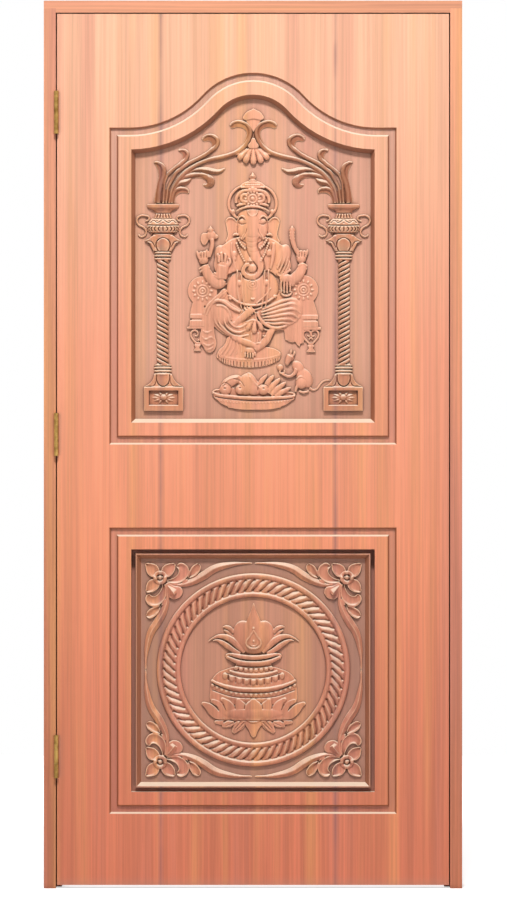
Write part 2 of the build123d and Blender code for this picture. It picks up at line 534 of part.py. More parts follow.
spray_bud_pixels = ([(165.0, 582.8, 1.2), (172.0, 590.0, 2.8), (177.4, 595.0, 5.0)], 0.6)
SPRAY_AXIS_PIXELS = (160.0, 577.7)


def mitred_inset(points):
    area = sum(a[0] * b[1] - b[0] * a[1] for a, b in zip(points, points[1:] + points[:1]))
    turn = math.copysign(PLATE_EDGE_PIXEL, area)
    inset = []
    for before, here, after in zip(points[-1:] + points[:-1], points, points[1:] + points[:1]):
        a = Vector(here[0] - before[0], here[1] - before[1]).normalized()
        b = Vector(after[0] - here[0], after[1] - here[1]).normalized()
        reach = turn / (1 + a.dot(b))
        inset.append((here[0] - (a.Y + b.Y) * reach, here[1] + (a.X + b.X) * reach))
    return inset


class Carver:
    """Turns rows of a table into solids standing on one panel field."""

    def __init__(self, x0, y0, scale_x, scale_y, field_z, relief_h):
        self.pixel_x, self.origin_x = x0
        self.pixel_y, self.origin_y = y0
        self.scale_x = scale_x
        self.scale_y = scale_y
        self.field_z = field_z
        self.relief_h = relief_h

    def at(self, px, py, z):
        x = self.origin_x + (px - self.pixel_x) * self.scale_x
        y = self.origin_y - (py - self.pixel_y) * self.scale_y
        return (x, y, self.field_z + z)

    def section(self, points, z):
        return Face(Wire.make_polygon([self.at(px, py, z) for px, py in points]))

    def stack(self, layers):
        return loft([self.section(points, z) for points, z in layers], ruled=True)

    def dome(self, row):
        px, py, half_w, half_h, turn, share = row
        sides = DOME_SIDES[0] if max(half_w, half_h) > DOME_SIDE_PIXEL else DOME_SIDES[1]
        lean = math.radians(turn)
        height = self.relief_h * share
        layers = []
        for spread, lift in DOME_PROFILE_SHARES:
            ring = []
            for i in range(sides):
                angle = 2 * math.pi * (i + 0.5) / sides
                u = half_w * spread * math.cos(angle)
                v = half_h * spread * math.sin(angle)
                ring.append((px + u * math.cos(lean) - v * math.sin(lean),
                             py + u * math.sin(lean) + v * math.cos(lean)))
            layers.append((ring, lift * height if lift else -CARVING_ROOT))
        return self.stack(layers)

    def run(self, points, share, profile_shares):
        widest = max(half_w for _, _, half_w in points)
        sections = []
        for i, (px, py, half_w) in enumerate(points):
            before = points[max(i - 1, 0)]
            after = points[min(i + 1, len(points) - 1)]
            along = math.hypot(after[0] - before[0], after[1] - before[1])
            nx = -(after[1] - before[1]) / along
            ny = (after[0] - before[0]) / along
            height = self.relief_h * share * (1 - RUN_TAPER_SHARE * (1 - half_w / widest))
            corners = []
            for side, lift in profile_shares:
                z = lift * height if lift else -CARVING_ROOT
                corners.append(self.at(px + nx * half_w * side, py + ny * half_w * side, z))
            sections.append(Face(Wire.make_polygon(corners)))
        return loft(sections, ruled=True)

    def limb(self, points, share):
        return self.run(points, share, LIMB_PROFILE_SHARES)

    def ridge(self, points, share):
        return self.run(points, share, RIDGE_PROFILE_SHARES)

    def plate(self, points, share):
        return self.stack([(points, -CARVING_ROOT), (mitred_inset(points), self.relief_h * share)])


def upper_carver():
    inset = PANEL_INSET + BEVEL_W
    scale_x = (MOULDING_W - 2 * inset) / UPPER_PIXELS_W
    scale_y = (ARCH_CROWN - UPPER_FOOT - 2 * inset) / UPPER_PIXELS_H
    x0 = (UPPER_MIDDLE_PIXEL, 0)
    y0 = (UPPER_FOOT_PIXEL, UPPER_FOOT + inset)
    return Carver(x0, y0, scale_x, scale_y, -UPPER_FIELD_D, UPPER_RELIEF_H)


def lower_carver():
    inset = PANEL_INSET + LOWER_MOAT_W + LOWER_RIM_W + BEVEL_W
    scale_x = (MOULDING_W - 2 * inset) / LOWER_PIXELS
    scale_y = (LOWER_MOULDING_H - 2 * inset) / LOWER_PIXELS
    x0 = (LOWER_MIDDLE_PIXEL, 0)
    y0 = (LOWER_CENTRE_PIXEL, LOWER_FOOT + LOWER_MOULDING_H / 2)
    return Carver(x0, y0, scale_x, scale_y, -LOWER_FIELD_D, LOWER_RELIEF_H)


def pillar_and_urn(carver):
    middle = PILLAR_MIDDLE_PIXEL
    forms = [carver.plate(*row) for row in pillar_plates_pixels]
    x0, x1, y0, y1 = ROSETTE_PANEL_PIXELS
    sunk = carver.at(x0, y1, carver.relief_h * ROSETTE_PANEL_SHARE)
    end = carver.at(x1, y0, carver.relief_h)
    forms[0] = forms[0] - box(sunk[0], end[0], sunk[1], end[1], sunk[2], end[2])
    forms.append(carver.plate(urn_outline_pixels, URN_SHARE))
    forms += [carver.dome(row) for row in pillar_domes_pixels]
    forms += [carver.ridge(*row) for row in rosette_petals_pixels]
    for half_w, py, half_t, share in pillar_bars_pixels:
        forms.append(carver.ridge([(middle - half_w, py, half_t), (middle + half_w, py, half_t)], share))
    forms.append(carver.ridge(urn_handle_pixels, URN_HANDLE_SHARE))
    pitch = (SHAFT_FOOT_PIXEL - SHAFT_TOP_PIXEL) / SHAFT_STRANDS
    for i in range(SHAFT_STRANDS):
        py = SHAFT_TOP_PIXEL + (i + 0.5) * pitch
        reach = SHAFT_STRAND_HALF_W_PIXEL
        rise = reach * SHAFT_STRAND_SLOPE_SHARE
        half_t = pitch * SHAFT_STRAND_WIDTH_SHARE
        ends = [(middle - reach, py - rise, half_t), (middle + reach, py + rise, half_t)]
        forms.append(carver.ridge(ends, SHAFT_STRAND_RELIEF_SHARE))
    return forms


def upper_carving(carver):
    sides = pillar_and_urn(carver)
    sides += [carver.ridge(*row) for row in foliage_ridges_pixels]
    sides += [carver.ridge(*row) for row in crest_lobes_pixels]
    forms = sides + [mirror(form, about=Plane.YZ) for form in sides]
    forms += [carver.plate(*row) for row in figure_plates_pixels]
    forms += [carver.dome(row) for row in figure_domes_pixels]
    forms += [carver.limb(*row) for row in figure_limbs_pixels]
    forms.append(carver.limb(trunk_pixels, TRUNK_SHARE))
    forms.append(carver.ridge(halo_pixels, HALO_SHARE))
    forms += [carver.ridge(*row) for row in figure_ridges_pixels]
    return forms


def wreath(carver):
    cx, cy = WREATH_CENTRE_PIXELS
    height = carver.relief_h * WREATH_TUBE_RELIEF_SHARE

    def ring(radius):
        turns = [2 * math.pi * (i + 0.5) / WREATH_TUBE_SIDES for i in range(WREATH_TUBE_SIDES)]
        return [(cx + radius * math.cos(a), cy + radius * math.sin(a)) for a in turns]

    forms = []
    for radius in WREATH_TUBE_R_PIXELS:
        outside = ring(radius + WREATH_TUBE_HALF_W_PIXEL)
        inside = ring(radius - WREATH_TUBE_HALF_W_PIXEL)
        mound = carver.stack([(outside, -CARVING_ROOT), (ring(radius), height)])
        hollow = carver.stack([(inside, -CARVING_ROOT), (ring(radius), height)])
        forms.append(mound - hollow)
    r0, r1 = WREATH_STRAND_R_PIXELS
    for i in range(WREATH_STRANDS):
        a = 2 * math.pi * (i + 0.5) / WREATH_STRANDS
        a0 = a - WREATH_STRAND_LEAN_SHARE
        a1 = a + WREATH_STRAND_LEAN_SHARE
        ends = [(cx + r0 * math.cos(a0), cy + r0 * math.sin(a0), WREATH_STRAND_HALF_W_PIXEL),
                (cx + r1 * math.cos(a1), cy + r1 * math.sin(a1), WREATH_STRAND_HALF_W_PIXEL)]
        forms.append(carver.ridge(ends, WREATH_STRAND_RELIEF_SHARE))
    return forms


def corner_spray(carver):
    ax, ay = SPRAY_AXIS_PIXELS
    forms = [carver.dome(row) for row in spray_domes_pixels]
    forms.append(carver.ridge(*spray_bud_pixels))
    for points, share in spray_ridges_pixels:
        forms.append(carver.ridge(points, share))
        turned = [(ax + py - ay, ay + px - ax, half_w) for px, py, half_w in points]
        forms.append(carver.ridge(turned, share))
    return forms


def lower_carving(carver):
    side = [carver.ridge(*row) for row in pot_side_ridges_pixels]
    spray = corner_spray(carver)
    across = Plane((0, LOWER_FOOT + LOWER_MOULDING_H / 2, 0), x_dir=(1, 0, 0), z_dir=(0, 1, 0))
    side += spray + [mirror(form, about=across) for form in spray]
    forms = side + [mirror(form, about=Plane.YZ) for form in side]
    forms += [carver.dome(row) for row in pot_domes_pixels]
    forms += [carver.ridge(*row) for row in pot_ridges_pixels]
    return forms + wreath(carver)


def carved(blank, forms):
    return blank.fuse(*forms)


# Carved panels, before carving


def upper_panel_blank():
    inset = PANEL_INSET + BEVEL_W + PANEL_CLEARANCE
    return extrude(arched_face(inset, -UPPER_FIELD_D - UPPER_PANEL_T), UPPER_PANEL_T)


def lower_panel_blank():
    inset = PANEL_INSET + LOWER_MOAT_W
    back = -LOWER_FIELD_D - LOWER_PANEL_T
    block = extrude(square_face(inset, back), -LOWER_RIM_D - back)
    lip = inset + LOWER_RIM_W
    slope_w = BEVEL_W * OVERRUN / (LOWER_FIELD_D - LOWER_RIM_D)
    tray = tapered(square_face, lip - slope_w, OVERRUN - LOWER_RIM_D, lip + BEVEL_W, -LOWER_FIELD_D)
    return block - tray


# Standing the door up: front face towards -Y, centred in its overall depth, on the floor


def stand_up(shape):
    front = (PIN_PROUD + KNUCKLE_R - JAMB_DEPTH) / 2
    return Plane(origin=(0, front, 0), x_dir=(1, 0, 0), z_dir=(0, -1, 0)) * shape


def build():
    parts = leaf_boards()
    parts["left_loose_tongue"] = loose_tongue(LEFT_SEAM)
    parts["right_loose_tongue"] = loose_tongue(RIGHT_SEAM)
    parts["upper_carved_panel"] = carved(upper_panel_blank(), upper_carving(upper_carver()))
    parts["lower_carved_panel"] = carved(lower_panel_blank(), lower_carving(lower_carver()))
    jamb_seats = [jamb_plate_seat(foot) for foot in hinge_feet().values()]
    parts["hinge_jamb"] = jamb(-1) - jamb_seats
    parts["closing_jamb"] = jamb(1)
    parts["head_jamb"] = head_jamb()
    parts["hinge_stop"] = side_stop(-1)
    parts["closing_stop"] = side_stop(1)
    parts["head_stop"] = head_stop()
    for place, foot in hinge_feet().items():
        parts[f"{place}_hinge_leaf_plate"] = hinge_leaf_plate(foot)
        parts[f"{place}_hinge_jamb_plate"] = hinge_jamb_plate(foot)
        parts[f"{place}_hinge_pin"] = hinge_pin(foot)
    return parts


def main():
    os.makedirs("parts", exist_ok=True)
    for name, shape in build().items():
        export_step(stand_up(shape), f"parts/{name}.step")


if __name__ == "__main__":
    main()
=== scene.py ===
import math
import bpy
import mathutils
import numpy as np
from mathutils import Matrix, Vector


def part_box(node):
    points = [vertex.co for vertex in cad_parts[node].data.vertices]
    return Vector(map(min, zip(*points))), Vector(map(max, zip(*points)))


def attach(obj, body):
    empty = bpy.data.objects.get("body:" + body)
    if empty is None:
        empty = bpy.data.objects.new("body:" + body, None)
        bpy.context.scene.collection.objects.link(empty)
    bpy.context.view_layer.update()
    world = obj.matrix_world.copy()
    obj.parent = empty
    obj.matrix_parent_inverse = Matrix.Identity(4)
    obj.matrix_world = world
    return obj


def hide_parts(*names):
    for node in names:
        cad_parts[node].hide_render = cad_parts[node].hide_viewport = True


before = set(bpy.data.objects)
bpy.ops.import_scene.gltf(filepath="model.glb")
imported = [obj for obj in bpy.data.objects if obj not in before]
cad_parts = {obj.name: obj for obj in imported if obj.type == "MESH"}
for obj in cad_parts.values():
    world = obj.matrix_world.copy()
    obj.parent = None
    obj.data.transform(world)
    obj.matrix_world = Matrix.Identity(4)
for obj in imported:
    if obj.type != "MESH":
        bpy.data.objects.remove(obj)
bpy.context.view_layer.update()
print("frame loaded:", len(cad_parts), "nodes")

mm = 0.001

# photo points to metres on the leaf
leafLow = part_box("left_board")[0]
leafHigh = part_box("right_board")[1]
leafFront = leafLow[1]
leafMiddle = (leafLow[0] + leafHigh[0]) / 2
leafHeight = leafHigh[2] - leafLow[2]
photo = {"left": 57, "right": 449, "top": 14, "foot": 885, "middle": 253}
perPx = (leafHigh[0] - leafLow[0]) / (photo["right"] - photo["left"])
perPy = leafHeight / (photo["foot"] - photo["top"])


def onBench(px, py):
    # the bench lies flat: x across the door, y up the door, z out of the field
    return leafMiddle + (px - photo["middle"]) * perPx, leafLow[2] + (photo["foot"] - py) * perPy


def deselectAll():
    if bpy.context.object and bpy.context.object.mode != "OBJECT":
        bpy.ops.object.mode_set(mode="OBJECT")
    bpy.ops.object.select_all(action="DESELECT")


def pickOnly(obj):
    deselectAll()
    obj.select_set(True)
    bpy.context.view_layer.objects.active = obj


def applyAll(obj):
    pickOnly(obj)
    bpy.ops.object.transform_apply(location=True, rotation=True, scale=True)


def addModifier(obj, kind, **settings):
    pickOnly(obj)
    bpy.ops.object.modifier_add(type=kind)
    modifier = obj.modifiers[-1]
    for key, value in settings.items():
        setattr(modifier, key, value)
    bpy.ops.object.modifier_apply(modifier=modifier.name)


def joinPieces(pieces, name):
    deselectAll()
    for piece in pieces:
        piece.select_set(True)
    bpy.context.view_layer.objects.active = pieces[0]
    if len(pieces) > 1:
        bpy.ops.object.join()
    obj = bpy.context.object
    obj.name = name
    obj.data.name = name
    return obj


def startCurve(dimensions):
    deselectAll()
    bpy.ops.curve.primitive_bezier_curve_add(location=(0, 0, 0))
    curve = bpy.context.object.data
    curve.splines.clear()
    curve.dimensions = dimensions
    return curve


def faceOutwards(obj, merge=0.0):
    pickOnly(obj)
    bpy.ops.object.mode_set(mode="EDIT")
    bpy.ops.mesh.select_all(action="SELECT")
    if merge:
        bpy.ops.mesh.remove_doubles(threshold=merge * mm)
    bpy.ops.mesh.normals_make_consistent(inside=False)
    bpy.ops.object.mode_set(mode="OBJECT")


# the carving bench: forms reach under the field, are cut off there, smoothed and thinned (mm and shares)
bench = {"under": 4.0, "cut": 1.5, "merge": 0.05, "smooth": 0.5, "keep": 0.6, "floor": 0.1, "skin": 0.3,
    "vee": 1.4}


# gouge strokes: one curve per set, rows of (lift in mm, points of px, py, half width)
def strokes(rows, flat=0.8, sides=2, steps=6):
    curve = startCurve("3D")
    curve.twist_mode = "Z_UP"
    curve.fill_mode = "FULL"
    curve.bevel_depth = 1.0
    curve.bevel_resolution = sides
    curve.resolution_u = steps
    curve.use_fill_caps = True
    for lift, points in rows:
        spline = curve.splines.new("BEZIER")
        spline.bezier_points.add(len(points) - 1)
        for knot, (px, py, halfWidth, *more) in zip(spline.bezier_points, points):
            x, y = onBench(px, py)
            knot.co = (x, y, (lift + sum(more)) * mm / flat)  # a fourth value lifts one point further
            knot.radius = halfWidth * perPx
            knot.handle_left_type = "AUTO"
            knot.handle_right_type = "AUTO"
    bpy.ops.object.convert(target="MESH")
    obj = bpy.context.object
    obj.scale = (1, 1, flat)
    applyAll(obj)
    return obj


# rounded forms: rows of (px, py, half width, half height, lift, height, turn)
def mounds(rows, segments=20, rings=10):
    pieces = []
    for px, py, halfW, halfH, lift, height, turn in rows:
        x, y = onBench(px, py)
        deselectAll()
        bpy.ops.mesh.primitive_uv_sphere_add(
            segments=segments, ring_count=rings, radius=1, location=(x, y, lift * mm),
            rotation=(0, 0, math.radians(turn)), scale=(halfW * perPx, halfH * perPy, height * mm))
        pieces.append(bpy.context.object)
    deselectAll()
    for piece in pieces:
        piece.select_set(True)
    bpy.context.view_layer.objects.active = pieces[0]
    bpy.ops.object.transform_apply(location=True, rotation=True, scale=True)
    return joinPieces(pieces, "mounds")


# flat-topped forms: rows of (height in mm, rounding in mm, smooth, outline)
def plates(rows):
    pieces = []
    for height, rounding, smooth, outline in rows:
        curve = startCurve("2D")
        curve.fill_mode = "BOTH"
        curve.resolution_u = 6
        spline = curve.splines.new("BEZIER")
        spline.bezier_points.add(len(outline) - 1)
        spline.use_cyclic_u = True
        kind = "AUTO" if smooth else "VECTOR"
        for knot, (px, py) in zip(spline.bezier_points, outline):
            x, y = onBench(px, py)
            knot.co = (x, y, 0)
            knot.handle_left_type = kind
            knot.handle_right_type = kind
        deep = (height + bench["under"]) * mm
        curve.bevel_depth = rounding * mm
        curve.bevel_resolution = 2
        curve.offset = -rounding * mm
        curve.extrude = deep / 2 - rounding * mm
        bpy.ops.object.convert(target="MESH")
        obj = bpy.context.object
        obj.location = (0, 0, height * mm - deep / 2)
        applyAll(obj)
        faceOutwards(obj, bench["merge"])
        pieces.append(obj)
    return joinPieces(pieces, "plates")


def leafOutline(outer, inner):
    # round a leaf: out along one edge and back along the other
    back = inner[::-1]
    if math.dist(back[0], outer[-1]) < 0.1:
        back = back[1:]
    return outer + back


def rimLines(leaves, lift, width, innerWidth):
    # a thin rolled rim along each edge of each leaf, fading at its ends
    rows = []
    for outer, inner in leaves:
        for edge, full in ((outer, width), (inner, innerWidth)):
            ends = (0, len(edge) - 1)
            rows.append((lift, [(px, py, full * (0.35 if i in ends else 1.0)) for i,
                (px, py) in enumerate(edge)]))
    return rows


def spotAt(edge, t):
    # the place at a share of a line's length
    lengths = [math.dist(a, b) for a, b in zip(edge, edge[1:])]
    walk = sum(lengths) * t
    for (a, b), length in zip(zip(edge, edge[1:]), lengths):
        if walk <= length + 1e-6:
            break
        walk -= length
    share = walk / length
    return a[0] + (b[0] - a[0]) * share, a[1] + (b[1] - a[1]) * share


def midLine(outer, inner, count, fill, start=0.0, end=1.0):
    # the line half way between two edges, with a share of the half distance as its width
    rows = []
    for i in range(count):
        t = start + (end - start) * i / (count - 1)
        (ax, ay), (bx, by) = spotAt(outer, t), spotAt(inner, t)
        rows.append(((ax + bx) / 2, (ay + by) / 2, max(math.dist((ax, ay), (bx, by)) / 2 * fill, 0.3)))
    return rows


def stemLine(outer, inner, count, most):
    # a round stem between two edges that keeps to the outer one where they part
    rows = []
    fine = [spotAt(inner, i / 120) for i in range(121)]
    for i in range(count):
        t = i / (count - 1)
        px, py = spotAt(outer, t)
        near = min(fine, key=lambda spot: math.dist(spot, (px, py)))
        gap = max(math.dist(near, (px, py)), 0.1)
        half = min(gap / 2, most * min(1.0, 0.45 + (1 - t) * 1.8))
        rows.append((px + (near[0] - px) * half / gap, py + (near[1] - py) * half / gap, max(half, 0.5)))
    return rows


def ribbon(points):
    # outline of a tapering leaf along its middle line
    left, right = [], []
    for i, (px, py, halfWidth) in enumerate(points):
        a, b = points[max(i - 1, 0)], points[min(i + 1, len(points) - 1)]
        along = math.dist(a[:2], b[:2])
        nx, ny = -(b[1] - a[1]) / along, (b[0] - a[0]) / along
        left.append((px + nx * halfWidth, py + ny * halfWidth))
        right.append((px - nx * halfWidth, py - ny * halfWidth))
    return left + right[::-1]


# turned forms laid on the bench: rings of (half width, py) pulled up one after another
def turned(px, profile, flat, lift=0):
    deselectAll()
    radius, py = profile[0]
    x, y = onBench(px, py)
    bpy.ops.mesh.primitive_circle_add(vertices=36, radius=radius * perPx, fill_type="NGON",
        location=(0, 0, 0))
    obj = bpy.context.object
    bpy.ops.object.mode_set(mode="EDIT")
    bpy.ops.mesh.select_all(action="SELECT")
    for before, after in zip(profile, profile[1:]):
        rise = (before[1] - after[1]) * perPy
        bpy.ops.mesh.extrude_region_move(TRANSFORM_OT_translate={"value": (0, 0, rise)})
        grow = after[0] / before[0]
        bpy.ops.transform.resize(value=(grow, grow, 1), center_override=(0, 0, 0))
    faceOutwards(obj)
    obj.rotation_euler = (math.radians(-90), 0, 0)
    obj.location = (x, y, 0)
    applyAll(obj)
    obj.scale = (1, 1, flat)
    obj.location = (0, 0, lift * mm)
    applyAll(obj)
    return obj


def beadRow(points, count, radius, lift, height):
    # beads spread evenly along a line of photo points
    spots = [spotAt(points, i / (count - 1)) for i in range(count)]
    return [(px, py, radius, radius, lift, height, 0) for px, py in spots]


def ringOfMounds(px, py, radius, count, halfW, halfH, lift, height, start=0):
    rows = []
    for i in range(count):
        turn = start + 360 * i / count
        a = math.radians(turn)
        rows.append((px + radius * math.cos(a), py - radius * math.sin(a), halfW, halfH, lift, height, turn))
    return rows


def loopStroke(px, py, radius, halfWidth, count=12):
    return [(px + radius * math.cos(2 * math.pi * i / count), py + radius * math.sin(2 * math.pi * i / count),
             halfWidth) for i in range(count + 1)]


def flipped(rows, middle):
    # the same rows for the other side of the door
    out = []
    for row in rows:
        if isinstance(row[-1], list):
            out.append(row[:-1] + ([(2 * middle - p[0],) + tuple(p[1:]) for p in row[-1]],))
        else:
            out.append((2 * middle - row[0],) + tuple(row[1:-1]) + (-row[-1],))
    return out


def softLine(points, steps=5):
    # a rounded line through the points, for the veining tool
    padded = [points[0]] + list(points) + [points[-1]]
    line = []
    for a, b, c, d in zip(padded, padded[1:], padded[2:], padded[3:]):
        for i in range(steps):
            t = i / steps
            line.append([0.5 * (2 * q + (r - p) * t + (2 * p - 5 * q + 4 * r - s) * t ** 2
                + (3 * q - p - 3 * r + s) * t ** 3) for p, q, r, s in zip(a, b, c, d)])
    return line + [list(points[-1])]


def veinLines(obj, rows, dished=False):
    # cuts into the carved skin, v-shaped or dished: rows of (depth in mm, points of px, py, half width)
    mesh = obj.data
    spots = np.empty(len(mesh.vertices) * 3)
    mesh.vertices.foreach_get("co", spots)
    spots = spots.reshape(-1, 3)
    sink = np.zeros(len(spots))
    top = spots[:, 2] > bench["skin"] * mm
    for depth, points in rows:
        line = softLine(points) if len(points) > 2 else points
        for a, b in zip(line, line[1:]):
            ax, ay = onBench(a[0], a[1])
            bx, by = onBench(b[0], b[1])
            reach = max(a[2], b[2]) * perPx
            near = np.nonzero(top & (spots[:, 0] > min(ax, bx) - reach) & (spots[:, 0] < max(ax, bx) + reach)
                              & (spots[:, 1] > min(ay, by) - reach) & (spots[:, 1] < max(ay, by) + reach))[0]
            if not len(near):
                continue
            dx, dy = bx - ax, by - ay
            share = ((spots[near, 0] - ax) * dx + (spots[near, 1] - ay) * dy) / max(dx * dx + dy * dy, 1e-12)
            share = np.clip(share, 0, 1)
            away = np.hypot(spots[near, 0] - ax - share * dx, spots[near, 1] - ay - share * dy)
            width = (a[2] + (b[2] - a[2]) * share) * perPx
            shareOut = np.clip(away / width, 0, 1)
            cut = depth * mm * (1 - shareOut ** 2 if dished else (1 - shareOut) ** bench["vee"])
            sink[near] = np.maximum(sink[near], cut)
    spots[:, 2] = np.where(top, np.maximum(spots[:, 2] - sink, bench["floor"] * mm), spots[:, 2])
    mesh.vertices.foreach_set("co", spots.ravel())
    mesh.update()


def carve(pieces, name, voxel, fieldY, veins=(), scoops=(), keep=bench["keep"]):
    # one skin over all the forms, smoothed, veined, cut off just under the field and stood up
    obj = joinPieces(pieces, name)
    size = voxel * 1.0 * mm
    addModifier(obj, "REMESH", mode="VOXEL", voxel_size=size, use_smooth_shade=True)
    addModifier(obj, "SMOOTH", factor=bench["smooth"], iterations=1)
    veinLines(obj, scoops, True)
    veinLines(obj, veins)
    pickOnly(obj)
    bpy.ops.object.mode_set(mode="EDIT")
    bpy.ops.mesh.select_all(action="SELECT")
    bpy.ops.mesh.bisect(plane_co=(0, 0, -bench["cut"] * mm), plane_no=(0, 0, 1), use_fill=True,
        clear_inner=True)
    faceOutwards(obj)
    if keep < 1:
        addModifier(obj, "DECIMATE", ratio=keep)
    return standUp(obj, fieldY)


def standUp(obj, fieldY):
    obj.rotation_euler = (math.radians(90), 0, 0)
    obj.location = (0, fieldY, 0)
    applyAll(obj)
    pickOnly(obj)
    bpy.ops.object.shade_smooth()
    print(obj.name, "triangles:", sum(len(face.vertices) - 2 for face in obj.data.polygons))
    return obj


upperField = leafFront + 16 * mm
lowerField = leafFront + 18 * mm

# arched field of the upper panel
archBoard = {"run": 288.0, "hollow": 289.1, "crown": 98.9, "turn": 47.925, "thick": 14.0, "steps": 18,
    "merge": 0.02}


def makeArchBoard():
    low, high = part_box("upper_carved_panel")
    halfW = (high[0] - low[0]) / 2
    hollow, crown = archBoard["hollow"] * mm, archBoard["crown"] * mm
    run, turn = archBoard["run"] * mm, math.radians(archBoard["turn"])
    crownY = high[2] - crown
    start = math.asin((run - halfW) / hollow)
    bendX = crown * math.sin(turn)
    bendY = crownY + crown * math.cos(turn)
    hollowY = bendY + hollow * math.cos(turn)
    side = [(halfW, low[2])]
    for i in range(archBoard["steps"] + 1):
        a = start + (turn - start) * i / archBoard["steps"]
        side.append((bendX + hollow * math.sin(turn) - hollow * math.sin(a), hollowY - hollow * math.cos(a)))
    for i in range(1, archBoard["steps"] + 1):
        a = turn * (1 - i / archBoard["steps"])
        side.append((crown * math.sin(a), crownY + crown * math.cos(a)))
    outline = side + [(-x, y) for x, y in side[-2::-1]]
    curve = startCurve("2D")
    curve.fill_mode = "BOTH"
    curve.extrude = archBoard["thick"] / 2 * mm
    spline = curve.splines.new("POLY")
    spline.points.add(len(outline) - 1)
    spline.use_cyclic_u = True
    for knot, (x, y) in zip(spline.points, outline):
        knot.co = (x, y, 0, 1)
    bpy.ops.object.convert(target="MESH")
    obj = bpy.context.object
    obj.name = "archBoard"
    obj.location = (0, 0, -archBoard["thick"] / 2 * mm)
    applyAll(obj)
    faceOutwards(obj, archBoard["merge"])
    obj.rotation_euler = (math.radians(90), 0, 0)
    obj.location = (0, upperField, 0)
    applyAll(obj)
    return obj


# square tray of the lower panel: rim, bevel and field
squareTray = {"rim": 3.0, "bevel": 9.0, "sink": 13.0}


def makeSquareTray():
    low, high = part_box("lower_carved_panel")
    deselectAll()
    middle = [(a + b) / 2 for a, b in zip(low, high)]
    bpy.ops.mesh.primitive_cube_add(size=1, location=middle, scale=[b - a for a, b in zip(low, high)])
    obj = bpy.context.object
    obj.name = "squareTray"
    applyAll(obj)
    bpy.ops.object.mode_set(mode="EDIT")
    bpy.ops.mesh.select_all(action="DESELECT")
    bpy.ops.object.mode_set(mode="OBJECT")
    for face in obj.data.polygons:
        face.select = face.normal.y < -0.9
    bpy.ops.object.mode_set(mode="EDIT")
    bpy.ops.mesh.select_mode(type="FACE")
    bpy.ops.mesh.inset(thickness=squareTray["rim"] * mm)
    bpy.ops.mesh.inset(thickness=squareTray["bevel"] * mm, depth=-squareTray["sink"] * mm)
    bpy.ops.object.mode_set(mode="OBJECT")
    return obj


